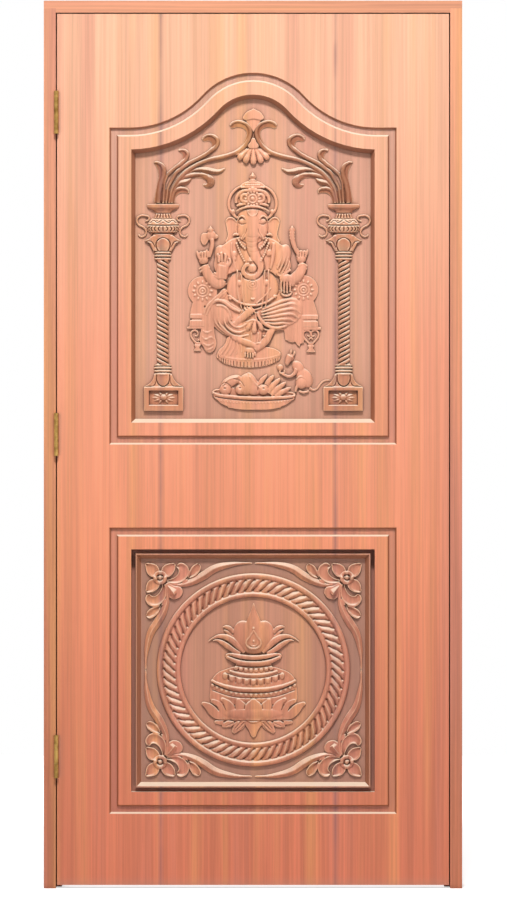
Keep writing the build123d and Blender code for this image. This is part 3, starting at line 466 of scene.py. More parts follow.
# pillars with their urns; the left one is drawn and the right one mirrored from it
pillar = {
    "voxel": 1, "middle": 162.7, "urnMiddle": 162.9, "shaftFlat": 0.46, "urnFlat": 0.34,
    "starts": 3, "strand": 1.65, "top": 259.5, "foot": 365.2, "coil": 4.8, "lead": 14.2, "flat": 0.72,
    "knots": 12,
    "flower": {"px": 163.4, "py": 397.8, "across": 12.2, "up": 6.6, "lift": 1.4,
        "petal": ((0.2, 1), (0.6, 1.9), (1, 0.3)), "turns": (0, 32, 66, 114, 148, 180, 212, 246, 294, 328)},
    "rings": {"cut": 3.2, "half": 0.9, "rows": ((251.4, 8.8), (254.1, 8.8), (257.3, 8.8), (366.1, 9.2),
        (369.2, 9.2), (372.3, 9.2))},
    "neck": {"cut": 3, "flutes": 7, "apart": 2.9, "lean": 0.3, "top": (214.2, 0.9), "foot": (217.8, 1)},
    "belly": {"cut": 3.2, "aside": 5, "reach": 15.2, "step": 0.29, "bow": 0.9,
        "line": ((-1, 226.8, 0.8), (0.4, 228.8, 1.1), (-1, 231, 0.8))},
    "profile": [(9.2, 375.2), (9.2, 374), (7.4, 373.4), (7.4, 372.8), (9.2, 372), (9.2, 370.6), (7.4, 370),
        (7.4, 369.4), (9.2, 368.6), (9.2, 367.4), (7.4, 366.8), (7.4, 366.2), (9, 365.6), (8.8, 364.8),
        (3.4, 364), (3.4, 260.4), (8.4, 259.8), (8.8, 258.4), (6.6, 257.6), (6.6, 257), (8.8, 256.4),
        (8.8, 255.2), (6.6, 254.4), (6.6, 253.8), (8.8, 253.2), (8.8, 252), (7.2, 251)],
    "urn": [(9, 240.4), (11.6, 238.2), (11, 236.4), (10.4, 234.4), (10.6, 233.2), (14.6, 231.8),
        (16.3, 229.8), (16.7, 227.8), (16.2, 226), (15.4, 225.2), (16, 224.2), (14.2, 221.2), (11.4, 218.9),
        (9.8, 218.2), (8.6, 216), (7.8, 213.4), (8.2, 212.4), (9, 210.8), (11.6, 209.2), (15, 208.4),
        (16.2, 206.8), (16.2, 204.6), (15.4, 204)],
    "plates": [
        (8, 0.8, False, [(143.8, 387), (183.2, 387), (183.2, 390.6), (143.8, 390.6)]),
        (8, 0.8, False, [(143.8, 405.4), (183.2, 405.4), (183.2, 411), (143.8, 411)]),
        (8, 0.8, False, [(143.8, 387), (148.8, 387), (148.8, 411), (143.8, 411)]),
        (8, 0.8, False, [(178.2, 387), (183.2, 387), (183.2, 411), (178.2, 411)]),
        (1.4, 0.4, False, [(147, 388), (180, 388), (180, 409), (147, 409)]),
        (6.4, 1, False, [(154, 374.6), (172, 374.6), (173.4, 378.6), (176, 382.2), (179.4, 384.8),
            (182.2, 386), (182.2, 388), (144.6, 388), (144.6, 386), (147.6, 384.8), (151, 382.2),
            (153, 378.6)]),
        (7, 1.2, False, [(153.6, 251.4), (171.4, 251.4), (173.6, 247.4), (176, 243), (181.2, 240.6),
            (177.6, 239), (172.6, 235.4), (153, 235.4), (148, 239), (144.2, 240.6), (149.4, 243),
            (151.6, 247.4)]),
    ],
    "tongues": [
        (8.6, 1.6, True, [(156.6, 247), (156.8, 242.6), (159.6, 239.2), (163, 238.2), (166.4, 239.2),
            (169.2, 242.6), (169.2, 247), (166.8, 251), (159.2, 251)]),
        (8.2, 1.6, True, [(157.6, 374.4), (168.6, 374.4), (169, 380.4), (166.6, 384.6), (163, 386),
            (159.4, 384.6), (157, 380.4)]),
    ],
    "mounds": [(163.4, 397.6, 3.4, 3, 2, 6.6, 0)],
    "handle": [
        (2.4, [(180.8, 221, 0.68), (177.6, 219.8, 0.91), (177, 217.4, 0.99), (181.2, 215.4, 1.1),
            (186.8, 216.2, 1.1), (189.2, 220.2, 1.1), (187.4, 224.4, 1.1), (182.4, 227.2, 1.1),
            (180.2, 230, 0.99), (180, 233.4, 0.99), (182.8, 236.2, 0.99), (186.4, 235.8, 0.91),
            (187.4, 234.2, 0.76)]),
    ],
    "skirt": [
        (2.1, [(149.6, 386, 0.7), (152.6, 386.4, 1), (155, 384, 1), (156.4, 380, 1), (156.8, 375.4, 1)]),
        (2.1, [(176.8, 386, 0.7), (173.6, 386.4, 1), (171.2, 384, 1), (169.8, 380, 1), (169.4, 375.4, 1)]),
        (2.7, [(144, 386.6, 1), (151, 386.6, 1)]), (2.7, [(175, 386.6, 1), (183, 386.6, 1)]),
        (2.7, [(156.6, 375, 1), (156.6, 380.4, 1.1), (159, 384.8, 1.1), (163, 386.6, 1.1), (167, 384.8, 1.1),
            (169.4, 380.4, 1.1), (169.4, 375, 1)]),
        (2.7, [(158.4, 251.4, 1), (156, 246.4, 1.1), (156.4, 242, 1.1), (159.4, 238.8, 1.1),
            (163, 237.8, 1.1), (166.6, 238.8, 1.1), (169.6, 242, 1.1), (170, 246.4, 1.1), (167.6, 251.4, 1)]),
        (2.4, [(146, 241.2, 1), (151.6, 241.8, 1.1), (155.4, 247.4, 1)]),
        (2.4, [(179.6, 241.2, 1), (174.4, 241.8, 1.1), (170.6, 247.4, 1)]),
        (3.3, [(152.4, 218.5, 1.1), (163, 218.9, 1), (173.4, 218.5, 1.1)]),
        (3.6, [(147.4, 224.9, 1), (163, 225.6, 1), (178.4, 224.9, 1)]),
        (2.7, [(154, 213, 1), (163, 213.4, 1.1), (171.6, 213, 1)]),
        (3, [(150.4, 222.6, 1), (153.4, 220.4, 1), (156.8, 222.6, 1), (159.6, 221.8, 1), (162.9, 219.6, 1),
            (166.2, 221.8, 1), (169, 222.6, 1), (172.4, 220.4, 1), (175.6, 222.6, 1)]),
        (2.4, [(156.4, 220.6, 1), (157, 220.6, 1)]), (2.4, [(168.8, 220.6, 1), (169.4, 220.6, 1)]),
        (2.4, [(162.6, 222.6, 1), (163.2, 222.6, 1)]), (2.7, [(152.4, 233, 1), (163, 233.4, 1.1),
            (173.6, 233, 1)]),
        (2.1, [(148, 208.2, 1), (163, 208.6, 1.1), (177.6, 208.2, 1)]),
    ],
}


def makePillar(name):
    mid, urn, coil = pillar["middle"], pillar["urnMiddle"], pillar["coil"]
    pieces = [turned(mid, pillar["profile"], pillar["shaftFlat"]), turned(urn, pillar["urn"],
        pillar["urnFlat"])]
    curve = startCurve("3D")
    curve.bevel_depth = pillar["strand"] * perPx
    curve.bevel_resolution = 2
    curve.resolution_u = 3
    curve.use_fill_caps = True
    span = pillar["foot"] - pillar["top"]
    count = int(span / pillar["lead"] * pillar["knots"])
    for s in range(pillar["starts"]):  # strands wound round the shaft
        spline = curve.splines.new("NURBS")
        spline.points.add(count)
        for i, knot in enumerate(spline.points):
            a = 2 * math.pi * (i / pillar["knots"] + s / pillar["starts"])
            x, y = onBench(mid - coil * math.cos(a), pillar["top"] + span * i / count)
            knot.co = (x, y, coil * perPx * math.sin(a), 1)
        spline.order_u = 3
        spline.use_endpoint_u = True
    bpy.ops.object.convert(target="MESH")
    rope = bpy.context.object
    rope.scale = (1, 1, pillar["flat"])
    applyAll(rope)
    pieces += [rope, plates(pillar["plates"] + pillar["tongues"])]
    flower, petals = pillar["flower"], []
    for degrees in flower["turns"]:  # petals of the sunk flower
        a = math.radians(degrees)
        across, up = flower["across"] * math.cos(a), flower["up"] * math.sin(a)
        petal = [(flower["px"] + across * share, flower["py"] - up * share, width) for share,
            width in flower["petal"]]
        petals.append((flower["lift"], petal))
    pieces += [mounds(pillar["mounds"]), strokes(petals, flat=0.9, sides=0)]
    pieces.append(strokes(pillar["handle"], flat=0.9))
    pieces.append(strokes(flipped(pillar["handle"], urn), flat=0.9))
    veins = list(pillar["skirt"])
    rings, neck, belly = pillar["rings"], pillar["neck"], pillar["belly"]
    for py, reach in rings["rows"]:  # gaps between the collar rings
        veins.append((rings["cut"], [(mid - reach, py, rings["half"]), (mid + reach, py, rings["half"])]))
    for i in range(neck["flutes"]):  # gaps between the flutes of the neck
        aside = i - neck["flutes"] // 2
        px, lean = urn + aside * neck["apart"], aside * neck["lean"]
        veins.append((neck["cut"], [(px - lean, *neck["top"]), (px + lean, *neck["foot"])]))
    for i in range(-belly["aside"], belly["aside"] + 1):  # crescents round the belly
        px = urn + belly["reach"] * math.sin(i * belly["step"])
        bow = belly["bow"] if i > 0 else -belly["bow"] if i < 0 else 0
        crescent = [(px + bow * out, py, half) for out, py, half in belly["line"]]
        veins.append((belly["cut"], crescent))
    return carve(pieces, name, pillar["voxel"], upperField, veins)


def mirrored(obj, name, flip, place):
    pickOnly(obj)
    bpy.ops.object.duplicate()
    copy = bpy.context.object
    copy.name = name
    copy.data.name = name
    copy.scale = flip
    copy.location = place
    applyAll(copy)
    faceOutwards(copy)
    return copy


def mirrorAcross(obj, name, px):
    return mirrored(obj, name, (-1, 1, 1), (2 * onBench(px, 0)[0], 0, 0))


def mirrorDown(obj, name, py):
    return mirrored(obj, name, (1, 1, -1), (0, 0, 2 * onBench(0, py)[1]))


# scrolling leaves that rise from each urn: outer edge, inner edge
foliage = {
    "voxel": 1.1, "lift": 2.2, "flat": 0.95, "blade": (2, 0.6), "ridge": (2.4, 0.4), "knots": 22,
    "widths": [2.3, 2, 2.1, 2.3, 2, 1.6],
    "leaves": [
        ([(160.6, 203), (161.2, 193), (162.8, 184.2), (165.8, 175.6), (166.2, 169.2), (163.6, 164),
            (158.8, 161.4), (153.8, 161.8)], [(154.8, 203), (155.2, 193), (157.2, 183.4), (158.2, 174.8),
            (156.8, 168.2), (153.8, 162.4)]),
        ([(164.4, 203), (165.4, 183), (168.6, 175.6), (175.6, 169.4), (183, 164.6), (188.2, 159.2),
            (189.4, 154.2), (187, 149.8), (182.8, 148.4), (178, 149.6)],
            [(161.8, 203), (163.4, 181), (167.4, 172), (174.8, 165.4), (181, 160), (182.4, 155.4),
            (180.4, 152)]),
        ([(167, 203), (169.4, 187), (178, 173), (190, 164.6), (201, 159.4), (210, 154), (217.4, 147.6),
            (220, 141.4), (217, 135.8), (210.4, 133.4), (204.4, 135), (201.4, 138.4)],
            [(165, 203), (166.8, 186), (174.4, 171.4), (186, 162.2), (197, 156.6), (206, 151.6),
            (211.2, 146.6), (211.4, 143), (208.4, 140.8), (204.4, 141.4)]),
        ([(170.2, 203), (173.4, 188.6), (184.6, 175), (197, 166.6), (205, 163), (214, 160.8), (224, 158.8),
            (232, 156.4), (238.6, 153.8), (245.6, 148.4), (251, 140.8), (253, 131.8), (249.4, 124.2),
            (241.8, 120), (234.6, 120.2), (229.8, 124)], [(167.8, 203), (170.8, 187.4), (181.4, 172.2),
            (193, 164.2), (203, 159.6), (212, 156.4), (222, 154.2), (230, 152), (236, 149.4), (241.6, 144.4),
            (245.4, 137.6), (246.2, 131.8), (242.8, 128.2), (237, 127.2), (231, 128.2)]),
        ([(171.6, 203), (174.8, 190), (179.4, 180.8), (184.3, 175), (191.3, 172.8), (199.3, 172.4),
            (204.6, 173.4), (209.4, 175.6)], [(170.4, 203), (173.4, 191), (178.4, 183), (183.6, 178.8),
            (190.8, 177.2), (197.5, 177.5), (202.5, 178.3), (206, 180)]),
        ([(169.8, 203), (170.8, 196), (173.2, 190.6), (176, 187.9), (180.5, 186.4), (185, 186.9),
            (188.1, 189), (188.9, 192.4)], [(173.8, 203), (175.2, 197.5), (177.9, 194.4), (181.4, 192.8),
            (185, 192.8), (188, 193.3)]),
    ],
    "ridges": [
        [(183, 177, 0.8), (190, 171.8, 1.3), (198, 169.2, 1.8), (207, 169.8, 3.1), (213.6, 171.2, 3),
            (219.4, 171.2, 2.3), (225.2, 168, 0.4)],
        [(173, 192, 0.8), (175.8, 186.6, 1.8), (180, 182.8, 3), (185, 181.6, 3.4), (188.6, 180, 2.2),
            (191.2, 177.6, 0.4)],
    ],
    "curls": [
        (0, [(200, 175, 1.6), (205.6, 176.4, 2.8), (209.8, 179.2, 4), (210.6, 182.6, 4.3),
            (207.2, 185.4, 2.6), (202.8, 184.4, 1)]),
    ],
}


def makeFoliage(name):
    stems = []
    for (outer, inner), width in zip(foliage["leaves"], foliage["widths"]):
        stems.append((foliage["lift"], stemLine(outer, inner, foliage["knots"], width)))
    blades = [(*foliage["blade"], True, leafOutline(outer, inner)) for outer, inner in foliage["leaves"]]
    blades += [(*foliage["ridge"], True, ribbon(line)) for line in foliage["ridges"]]
    pieces = [plates(blades), strokes(stems, foliage["flat"], sides=3)]
    pieces.append(strokes([(foliage["lift"], line) for line in foliage["ridges"]], sides=0))
    pieces.append(strokes(foliage["curls"], flat=0.7, sides=3))
    return carve(pieces, name, foliage["voxel"], upperField)


# crest between the two scrolls: dome leaf, drop and shell
crest = {
    "voxel": 1.1, "middle": 253.4,
    "plates": [
        (6.5, 1.8, True, [(243.2, 118.6), (253.4, 118.8), (263.6, 118.6), (262.2, 114), (258.9, 110.9),
            (255.9, 109.6), (253.4, 108.3), (250.9, 109.6), (247.9, 110.9), (244.6, 114)]),
        (4, 1, False, [(245, 119), (262, 119), (253.4, 132)]),
        (6.6, 1.8, True, [(253.4, 137.6), (256.8, 142.2), (258.8, 146.4), (253.4, 148.4), (248, 146.4),
            (250, 142.2)]),
    ],
    "lobes": [
        (2.6, [(253.4, 148, 1), (253.4, 154, 2.4), (253.4, 159.6, 3.7), (253.4, 162, 3.5, -1),
            (253.4, 163.2, 2.4, -3)]),
        (2.4, [(251.2, 148.4, 1), (248.6, 154, 2.3), (246.6, 158.6, 3.6), (245.8, 160.6, 3.4, -1),
            (245.4, 161.6, 2.3, -3)]),
        (2.2, [(249.2, 148.6, 0.9), (244, 153, 2.2), (240.9, 156, 3.4), (239.6, 157.4, 3.1, -1),
            (238.8, 158.2, 2.1, -3)]),
        (1.8, [(247.2, 148.6, 0.8), (240.2, 151.4, 1.6), (236.6, 153, 2.2), (234.8, 153.8, 1.6, -1.5),
            (233.8, 154.2, 0.4, -3)]),
    ],
}


def makeCrest():
    lobes = crest["lobes"] + flipped(crest["lobes"][1:], crest["middle"])
    pieces = [plates(crest["plates"]), strokes(lobes, flat=0.95)]
    return carve(pieces, "shellCrest", crest["voxel"], upperField)


# seated figure, from the crown down to the pedestal
figure = {
    "voxel": 1.15, "middle": 252.6,
    # py, ring radius, count, half width, half height, lift, height
    "crownPearls": (198.8, 6.9, 14, 1.3, 1, 9, 2.4),
    "capBeads": ([(245.6, 185), (259.6, 185)], 8, 1, 6.6, 2.2),  # line, count, radius, lift, height
    "strings": [  # necklaces, from the middle outwards
        ([(15, 238.5), (11.4, 244.8), (7.8, 248.6)], 6, 1.25, 8.8, 4),
        ([(16, 243.9), (12.2, 253.7), (8.4, 261)], 9, 1.25, 9.2, 4),
    ],
    "rosette": {"plate": 14.8, "disc": (3.6, 0.9), "loops": [(3.8, 5.6, 0.8), (4.2, 2.8, 0.75)],
        "pearls": (8.8, 12, 1.9, 1.25, 3.4, 2.8), "knob": (1.2, 1.2, 3.8, 2, 0)},
    "foot": {"px": 249.3, "flutes": (22, 30.6, 7.6, 353.6, 358), "rim": (12, 31, 7.4, 352.4),
        "cuts": (27, 31.2, 7.8, 354.6, 359.6),  # count, half width, drop, top, low end
        "lift": 4, "fluteHalf": (0.7, 0.9), "rimHalf": 0.8, "cut": 2.6, "cutHalf": (0.6, 0.8)},
    "crownMounds": [
        (252.7, 176.9, 3.4, 2.8, 2.5, 4.6, 0), (252.7, 180.2, 4.2, 1, 3, 4.2, 0),
        (252.7, 187.4, 12.8, 7.2, 0, 7.6, 0),
        (252.4, 199.4, 17, 12.6, 0, 9.6, 0), (232.8, 211.6, 2.3, 2.7, 3, 5.6, -30),
        (272.4, 211.6, 2.3, 2.7, 3, 5.6, 30),
        (249.6, 190.2, 1.9, 1.9, 8.4, 2.4, 0), (252.6, 189.2, 1.9, 2.4, 8.6, 2.6, 0),
        (255.6, 190.2, 1.9, 1.9, 8.4, 2.4, 0),
        (252.6, 198.8, 2, 2, 9.6, 2.8, 0),
    ],
    "crownLines": [
        (5, [(252.7, 171.9, 0.3), (252.7, 173.8, 1.4), (252.7, 176.4, 2.9)]),
        (6, [(244.6, 183.2, 0.7, -2), (252.6, 182.4, 0.9), (260.6, 183.2, 0.7, -2)]),
        (6.6, [(240.6, 187.4, 0.9), (252.6, 187, 1.1), (264.6, 187.4, 0.9)]),
        (8.8, [(235.8, 211.4, 0.8, -2), (241, 208.6, 1.1), (252.6, 206.6, 1.2, 1), (264.2, 208.6, 1.1),
            (269.4, 211.4, 0.8, -2)]),
    ],
    "crownCurls": [
        (8, [(248, 190.6, 1), (243, 191, 1.7), (238.8, 194, 2, -1), (236.4, 198.6, 2, -3),
            (236.2, 203, 1.6, -3)]),
        (8.4, [(247.4, 194.4, 1), (243.4, 194.8, 1.5), (241.2, 197.8, 1.6), (242.4, 201, 1.5),
            (245.4, 201.6, 1.1)]),
        (7.2, [(236.6, 205.8, 1.2, -2), (240.6, 204.6, 1.5), (245.6, 203.8, 1.2, 1)]),
        (2.2, [(241.4, 186, 1.3), (236.4, 188.8, 1.5), (232, 193.4, 1.6), (229.4, 199, 1.6),
            (228.8, 204.6, 1.6), (229.8, 209.4, 1.4), (232, 213.4, 1.2)]),
        (4, [(230.2, 209.4, 0.6), (232.4, 212.4, 1.8), (235, 216, 1.5), (238, 218.4, 0.9)]),
        (9.2, [(237.4, 221, 0.5, -1), (239, 217.6, 0.8), (241.8, 216, 0.9, 0.8), (244.6, 218, 0.8, 1),
            (246, 220.4, 0.5, 1)]),
        (3, [(225.6, 221.6, 0.7), (227.4, 218.8, 1), (230.6, 217.6, 1.1), (234.4, 219.4, 1),
            (236.6, 222, 0.7)]),
        (2.2, [(225.8, 222, 0.6), (227.4, 229, 0.7), (228.2, 235.4, 0.7), (226, 241.6, 0.7)]),
        (2.8, [(236.2, 223, 0.6), (236, 228, 0.7), (236.4, 233.4, 0.7)]),
        (5.4, [(232.6, 235.6, 0.8), (235.2, 234.2, 1.5), (238.4, 235.2, 0.9)]),
        (8, [(246.4, 233, 1.8), (243.6, 236.4, 1.9), (241.4, 239.6, 1.2)]),
    ],
    "headPlates": [
        (2.2, 0.5, True, [(225.8, 221.4), (230.6, 218), (236.4, 221.4), (238, 234), (234, 240),
            (225.6, 242.6), (228.2, 235.4), (227.4, 229)]),
        (2.2, 0.5, True, [(279.4, 221.4), (274.6, 218), (268.8, 221.4), (267.2, 234), (271.2, 240),
            (279.6, 242.6), (277, 235.4), (277.8, 229)]),
    ],
    "headMounds": [
        (252.5, 221, 16, 19, 0, 10.6, 0), (244, 229.6, 6.4, 9.6, 2, 7.6, -8),
        (261, 229.6, 6.4, 9.6, 2, 7.6, 8),
        (242.2, 221.4, 3.2, 2.2, 7.4, 2.6, -14), (262.8, 221.4, 3.2, 2.2, 7.4, 2.6, 14),
    ],
    "mark": [(11, [(247.6, 209.4, 0.5), (248.4, 213.4, 0.7), (252.6, 216.6, 0.7), (256.8, 213.4, 0.7),
        (257.6, 209.4, 0.5)])],
    "trunk": [
        (7.6, [(252.5, 213, 4.6, -2), (252.5, 219, 6.2), (252.4, 226, 7.4), (252.2, 233.6, 8.2),
            (251.6, 239.6, 6.4), (251.6, 246, 5.6), (253, 252.2, 5.2), (256.2, 258, 4.6, 0.8),
            (259.4, 263, 3.6, 1.8), (260.7, 268.2, 2.8, 2.8), (258.4, 273.8, 2.4, 3.2),
            (252.4, 276.9, 2.3, 3.4), (246.2, 275.4, 2.2, 3.4), (243.4, 270.8, 2.1, 3.4),
            (245.2, 266.2, 2, 3.2), (249.6, 264.4, 1.6, 3)]),
    ],
    "bodyPlates": [
        (6.4, 2.6, True, [(238, 237), (227, 242.2), (219.6, 248.6), (214.9, 258.8), (214.2, 268), (220, 276),
            (236, 271.6), (252.6, 272.6), (269, 271.6), (280, 276.4), (290.6, 268.2), (289.4, 258),
            (285.6, 249.2), (277.8, 242.2), (266, 237)]),
        (3.4, 1, True, [(212, 306), (226, 292), (252, 300), (282, 290), (303, 306), (304, 330), (274, 331),
            (262, 342), (244, 340), (214, 326)]),
    ],
    "bodyMounds": [
        (252.6, 258, 22, 20, 0, 9.6, 0), (252.7, 288, 26.6, 21.6, 0, 11.6, 0),
        (252.6, 268.8, 5.2, 5.2, 6, 7.4, 0),
        (250.6, 260.6, 4, 2.6, 8.2, 3.4, 0), (223.4, 256.8, 8.4, 12.6, 2, 7.2, 22),
        (282.4, 257, 8.2, 13.6, 2, 7.2, -20),
        (234.2, 254.2, 3, 3, 7, 3, 0), (234.4, 258.2, 1.8, 2.4, 7, 2.6, 0),
        (268.8, 252.8, 3, 3.4, 7.4, 3.2, 0),
        (252.7, 284.4, 1.6, 1.6, 11, 2.2, 0), (239.2, 283.2, 2.9, 2.9, 9.8, 3.2, 0),
        (266.5, 282.6, 2.9, 2.9, 9.8, 3.2, 0),
        (230.4, 298.4, 1.8, 1.8, 6, 3.2, 0), (274.6, 296.6, 1.8, 1.8, 6, 3.2, 0),
    ],
    "bodyFine": [
        (9, [(250.6, 255.8, 0.4), (250.6, 259, 1.8), (250.6, 261.4, 3)]),
        (6.8, [(273.6, 243, 1.6), (273.4, 251, 2, 1.2), (272.6, 259, 2, 1.2), (270.4, 268.6, 1.4)]),
        (6.4, [(231.6, 243, 0.9), (231.6, 251, 1.1, 0.8), (233.2, 259, 1.1, 0.8), (235.6, 268.6, 0.9)]),
        (6, [(236.4, 271, 0.9), (233.6, 262, 0.7), (237, 270.6, 0.7)]),
        (9.6, [(237.4, 270, 0.8), (237.2, 282, 0.8, 0.6), (238.4, 296, 0.8), (241.6, 308.4, 0.7, -2.4)]),
        (9.6, [(241.8, 270, 0.8, 0.6), (241.8, 282, 0.8, 1.2), (243, 296, 0.8, 0.6),
            (245, 308.4, 0.7, -2.2)]),
        (9.6, [(264.6, 270, 0.8, 0.6), (264.4, 282, 0.8, 1.2), (263.4, 296, 0.8, 0.6),
            (261.4, 308.4, 0.7, -2.2)]),
        (9.6, [(268.6, 270, 0.8), (268.8, 282, 0.8, 0.6), (267.6, 296, 0.8), (265, 308.4, 0.7, -2.4)]),
        (8.6, [(228.6, 295.4, 0.9, -2), (239, 302.4, 1), (252.7, 305.4, 1.1, 0.6), (266, 302.4, 1),
            (276.8, 295.4, 0.9, -2)]),
        (7.6, [(243.6, 307.6, 0.9), (252.7, 309.8, 1), (262, 307.6, 0.9)]),
        (10.4, [(271, 288, 0.6, -1), (264, 296.6, 0.8), (256.4, 303.4, 0.8, -0.8)]),
        (11.6, [(250.8, 298.4, 0.7), (252.8, 299.2, 0.9), (254.8, 298.4, 0.7)]),
        (11, loopStroke(252.7, 284.4, 5.2, 0.75)),
        (11.6, loopStroke(252.7, 284.4, 2.9, 0.65)),
        (9.8, loopStroke(252.6, 198.8, 4, 0.75)),
    ],
    "sleeve": [
        (7.6, [(284.4, 250, 0.5), (281, 259, 0.9, 1), (277.4, 268.6, 0.9)]),
        (7.6, [(286.8, 253, 0.5), (283.6, 262, 1, 1.2), (279, 272, 0.9)]),
        (7.2, [(288.6, 256.6, 0.5), (286, 264.6, 1, 1), (281.6, 273.6, 0.9)]),
        (6.6, [(289.8, 261, 0.5), (288, 267, 1, 0.8), (284.6, 273, 0.9)]),
        (5.8, [(290.4, 265, 0.5), (289.4, 269, 0.9), (287.6, 271.6, 0.8)]),
        (6.6, [(279.4, 276.4, 1), (285, 273.8, 1.2, 0.8), (290.8, 269.6, 1)]),
    ],
    "arms": [
        (4.4, [(224, 280, 5, 1), (218.6, 283.4, 5.8), (212, 279.4, 5.4), (207.2, 273, 4.8),
            (204.4, 266.8, 4.3)]),
        (4.4, [(284, 284, 4.4, 1), (292, 280.4, 5.8), (297.6, 275.6, 5.6), (301.4, 270, 4.9),
            (303.2, 265, 4.3)]),
        (6, [(221.4, 277.4, 6), (222.2, 271, 6, 1), (223.2, 265.6, 6.2, 1.4)]),
    ],
    "armMounds": [
        (203.4, 259.4, 5, 5.2, 3, 6, 0), (301.4, 258.2, 5, 5.2, 3, 6, 0), (223.6, 264, 6.4, 5.6, 6, 6.6, 0),
        (286.2, 278.6, 6.8, 5, 6, 6, -6), (211.2, 235.4, 4.9, 5.2, 2.4, 6.4, 0),
        (215.9, 236.6, 2.5, 2.5, 2.4, 4.2, 0),
        (210.6, 229.8, 3.3, 2.2, 2.4, 4.4, 0), (292.2, 230, 3.2, 2.6, 2.6, 4.6, 0),
        (292.6, 283.4, 2, 3.2, 6, 4, 12),
    ],
    "hands": [
        (4.6, [(199.6, 258.6, 1.6), (197.8, 254, 1.6), (196.6, 250.6, 0.9)]),
        (5.6, [(202.2, 257.6, 1.6), (201.2, 252.6, 1.6), (199.6, 254.6, 1.1)]),
        (5.6, [(205.2, 257.6, 1.6), (204.6, 252.2, 1.6), (203, 253.8, 1.1)]),
        (4.8, [(207.4, 257.4, 1.6), (207, 252.6, 1.5), (206.4, 249.4, 1)]),
        (4.8, [(297.6, 257, 1.6), (298, 252, 1.5), (297.6, 248.4, 1)]),
        (5.6, [(300.4, 256.6, 1.6), (301, 251.4, 1.6), (302.4, 253.4, 1.1)]),
        (5.6, [(303, 256.6, 1.6), (304.4, 251.6, 1.6), (305.4, 254, 1)]),
        (4.6, [(305.2, 257, 1.5), (306.8, 253, 1.5), (307.8, 249.4, 0.9)]),
        (9.6, [(219, 262.4, 1.7), (218.8, 257.6, 1.7), (217.2, 253.8, 1.1)]),
        (10.4, [(222, 261, 1.7), (221.6, 255.8, 1.7), (221, 252.4, 1.1)]),
        (10.2, [(225, 261.4, 1.7), (225.6, 256.8, 1.6), (225, 253.6, 1)]),
        (9.6, [(227.6, 266, 1.7), (230, 262.2, 1.6), (229.6, 258.4, 1)]),
        (10.8, [(218.6, 265, 0.8), (223, 266.8, 1), (227.8, 263.8, 0.8)]),
        (8.4, [(281.4, 280.6, 1.1), (281, 286, 1.1), (281.6, 292, 0.9)]),
        (9, [(284.2, 281.4, 1.1), (284.1, 287, 1.1), (284.3, 293, 0.9)]),
        (9, [(287.1, 281.4, 1.1), (287.2, 287, 1.1), (287.2, 293.4, 0.9)]),
        (8.4, [(289.9, 280.6, 1.1), (290.3, 286, 1.1), (290.2, 292, 0.9)]),
        (6.8, [(280.4, 291.6, 0.9), (283, 294.8, 1.1), (286.6, 295.8, 1.2), (290.2, 294.6, 1.1),
            (292.2, 291.4, 0.9)]),
    ],
    "rings": [
        (5.6, [(199, 269, 1), (203.8, 266.2, 1.2, 1.4), (208.6, 264.8, 1)]),
        (5.6, [(199.6, 272, 1), (204.8, 269.4, 1.2, 1.6), (209.8, 267, 1)]),
        (5.6, [(298, 265.6, 1), (303, 264, 1.2, 1.4), (307.4, 266, 1)]),
        (5.6, [(297.6, 268.6, 1), (302.6, 267.2, 1.2, 1.6), (307, 269.2, 1)]),
        (9, [(213.8, 272.6, 1, -2), (219.6, 275.6, 1.2), (227, 275, 1, -1)]),
        (9, [(213.9, 275.4, 1, -2), (219.8, 278.6, 1.2), (226.6, 278.4, 1, -1)]),
        (8.4, [(214.6, 278.4, 1, -2), (219.8, 281.4, 1.2), (225.6, 281.6, 1, -1)]),
        (5, [(209.2, 257, 1.9), (210.8, 251, 2.1), (212.2, 244.6, 2.3), (212, 239, 2.3)]),
        (5, [(210.6, 231.6, 2), (210.6, 229.2, 2.4), (210.5, 225.8, 0.5)]),
        (5, [(298.6, 254.6, 1.9), (295.6, 249, 2.2), (293.2, 242.6, 2.6), (292.2, 236, 2.8),
            (292.2, 231.6, 2.8)]),
        (5.4, [(292.2, 230.6, 2.4), (292.2, 228.2, 2), (292.2, 225.4, 0.4)]),
        (7.8, [(289.4, 232.4, 0.7), (292.2, 233.2, 0.8), (295, 232.4, 0.7)]),
        (7.8, [(289.2, 235.4, 0.7), (292.2, 236.2, 0.8), (295, 235.4, 0.7)]),
        (7.8, [(289.6, 238.2, 0.7), (292.4, 239, 0.8), (295.2, 238.2, 0.7)]),
    ],
    "axe": [(4.6, 1, True, [(207.4, 233.8), (202.6, 233.2), (200.6, 237.4), (201.4, 242.8), (204, 245),
        (208.4, 240.2)])],
    "throne": [
        (3.8, 0.8, False, [(192.6, 302), (204, 302), (204, 315), (190, 315), (190.4, 310.6)]),
        (5.2, 0.9, False, [(190, 314.2), (204, 314.2), (204, 318.4), (190, 318.4)]),
        (3.4, 0.5, False, [(191.6, 318), (204, 318), (204, 320.6), (191.6, 320.6)]),
        (5.8, 1.4, False, [(189.6, 320.2), (204, 320.2), (204, 326.4), (189.2, 326.4)]),
        (5, 0.6, False, [(186.6, 326.6), (204, 326.6), (204, 328.7), (186.6, 328.7)]),
        (4.6, 0.9, False, [(194, 344.6), (201, 344.6), (199.4, 347.6), (201.4, 351), (193.4, 351),
            (195.4, 347.6)]),
        (3.8, 0.8, False, [(301.4, 301), (313.8, 301), (316.8, 310), (318.2, 316), (301.4, 316)]),
        (5.2, 0.9, False, [(301.4, 315.2), (318.2, 315.2), (318.2, 319.4), (301.4, 319.4)]),
        (3.4, 0.5, False, [(301.4, 319), (316.6, 319), (316.6, 321.4), (301.4, 321.4)]),
        (5.8, 1.4, False, [(303.2, 321), (318, 321), (318.4, 327), (303.2, 327)]),
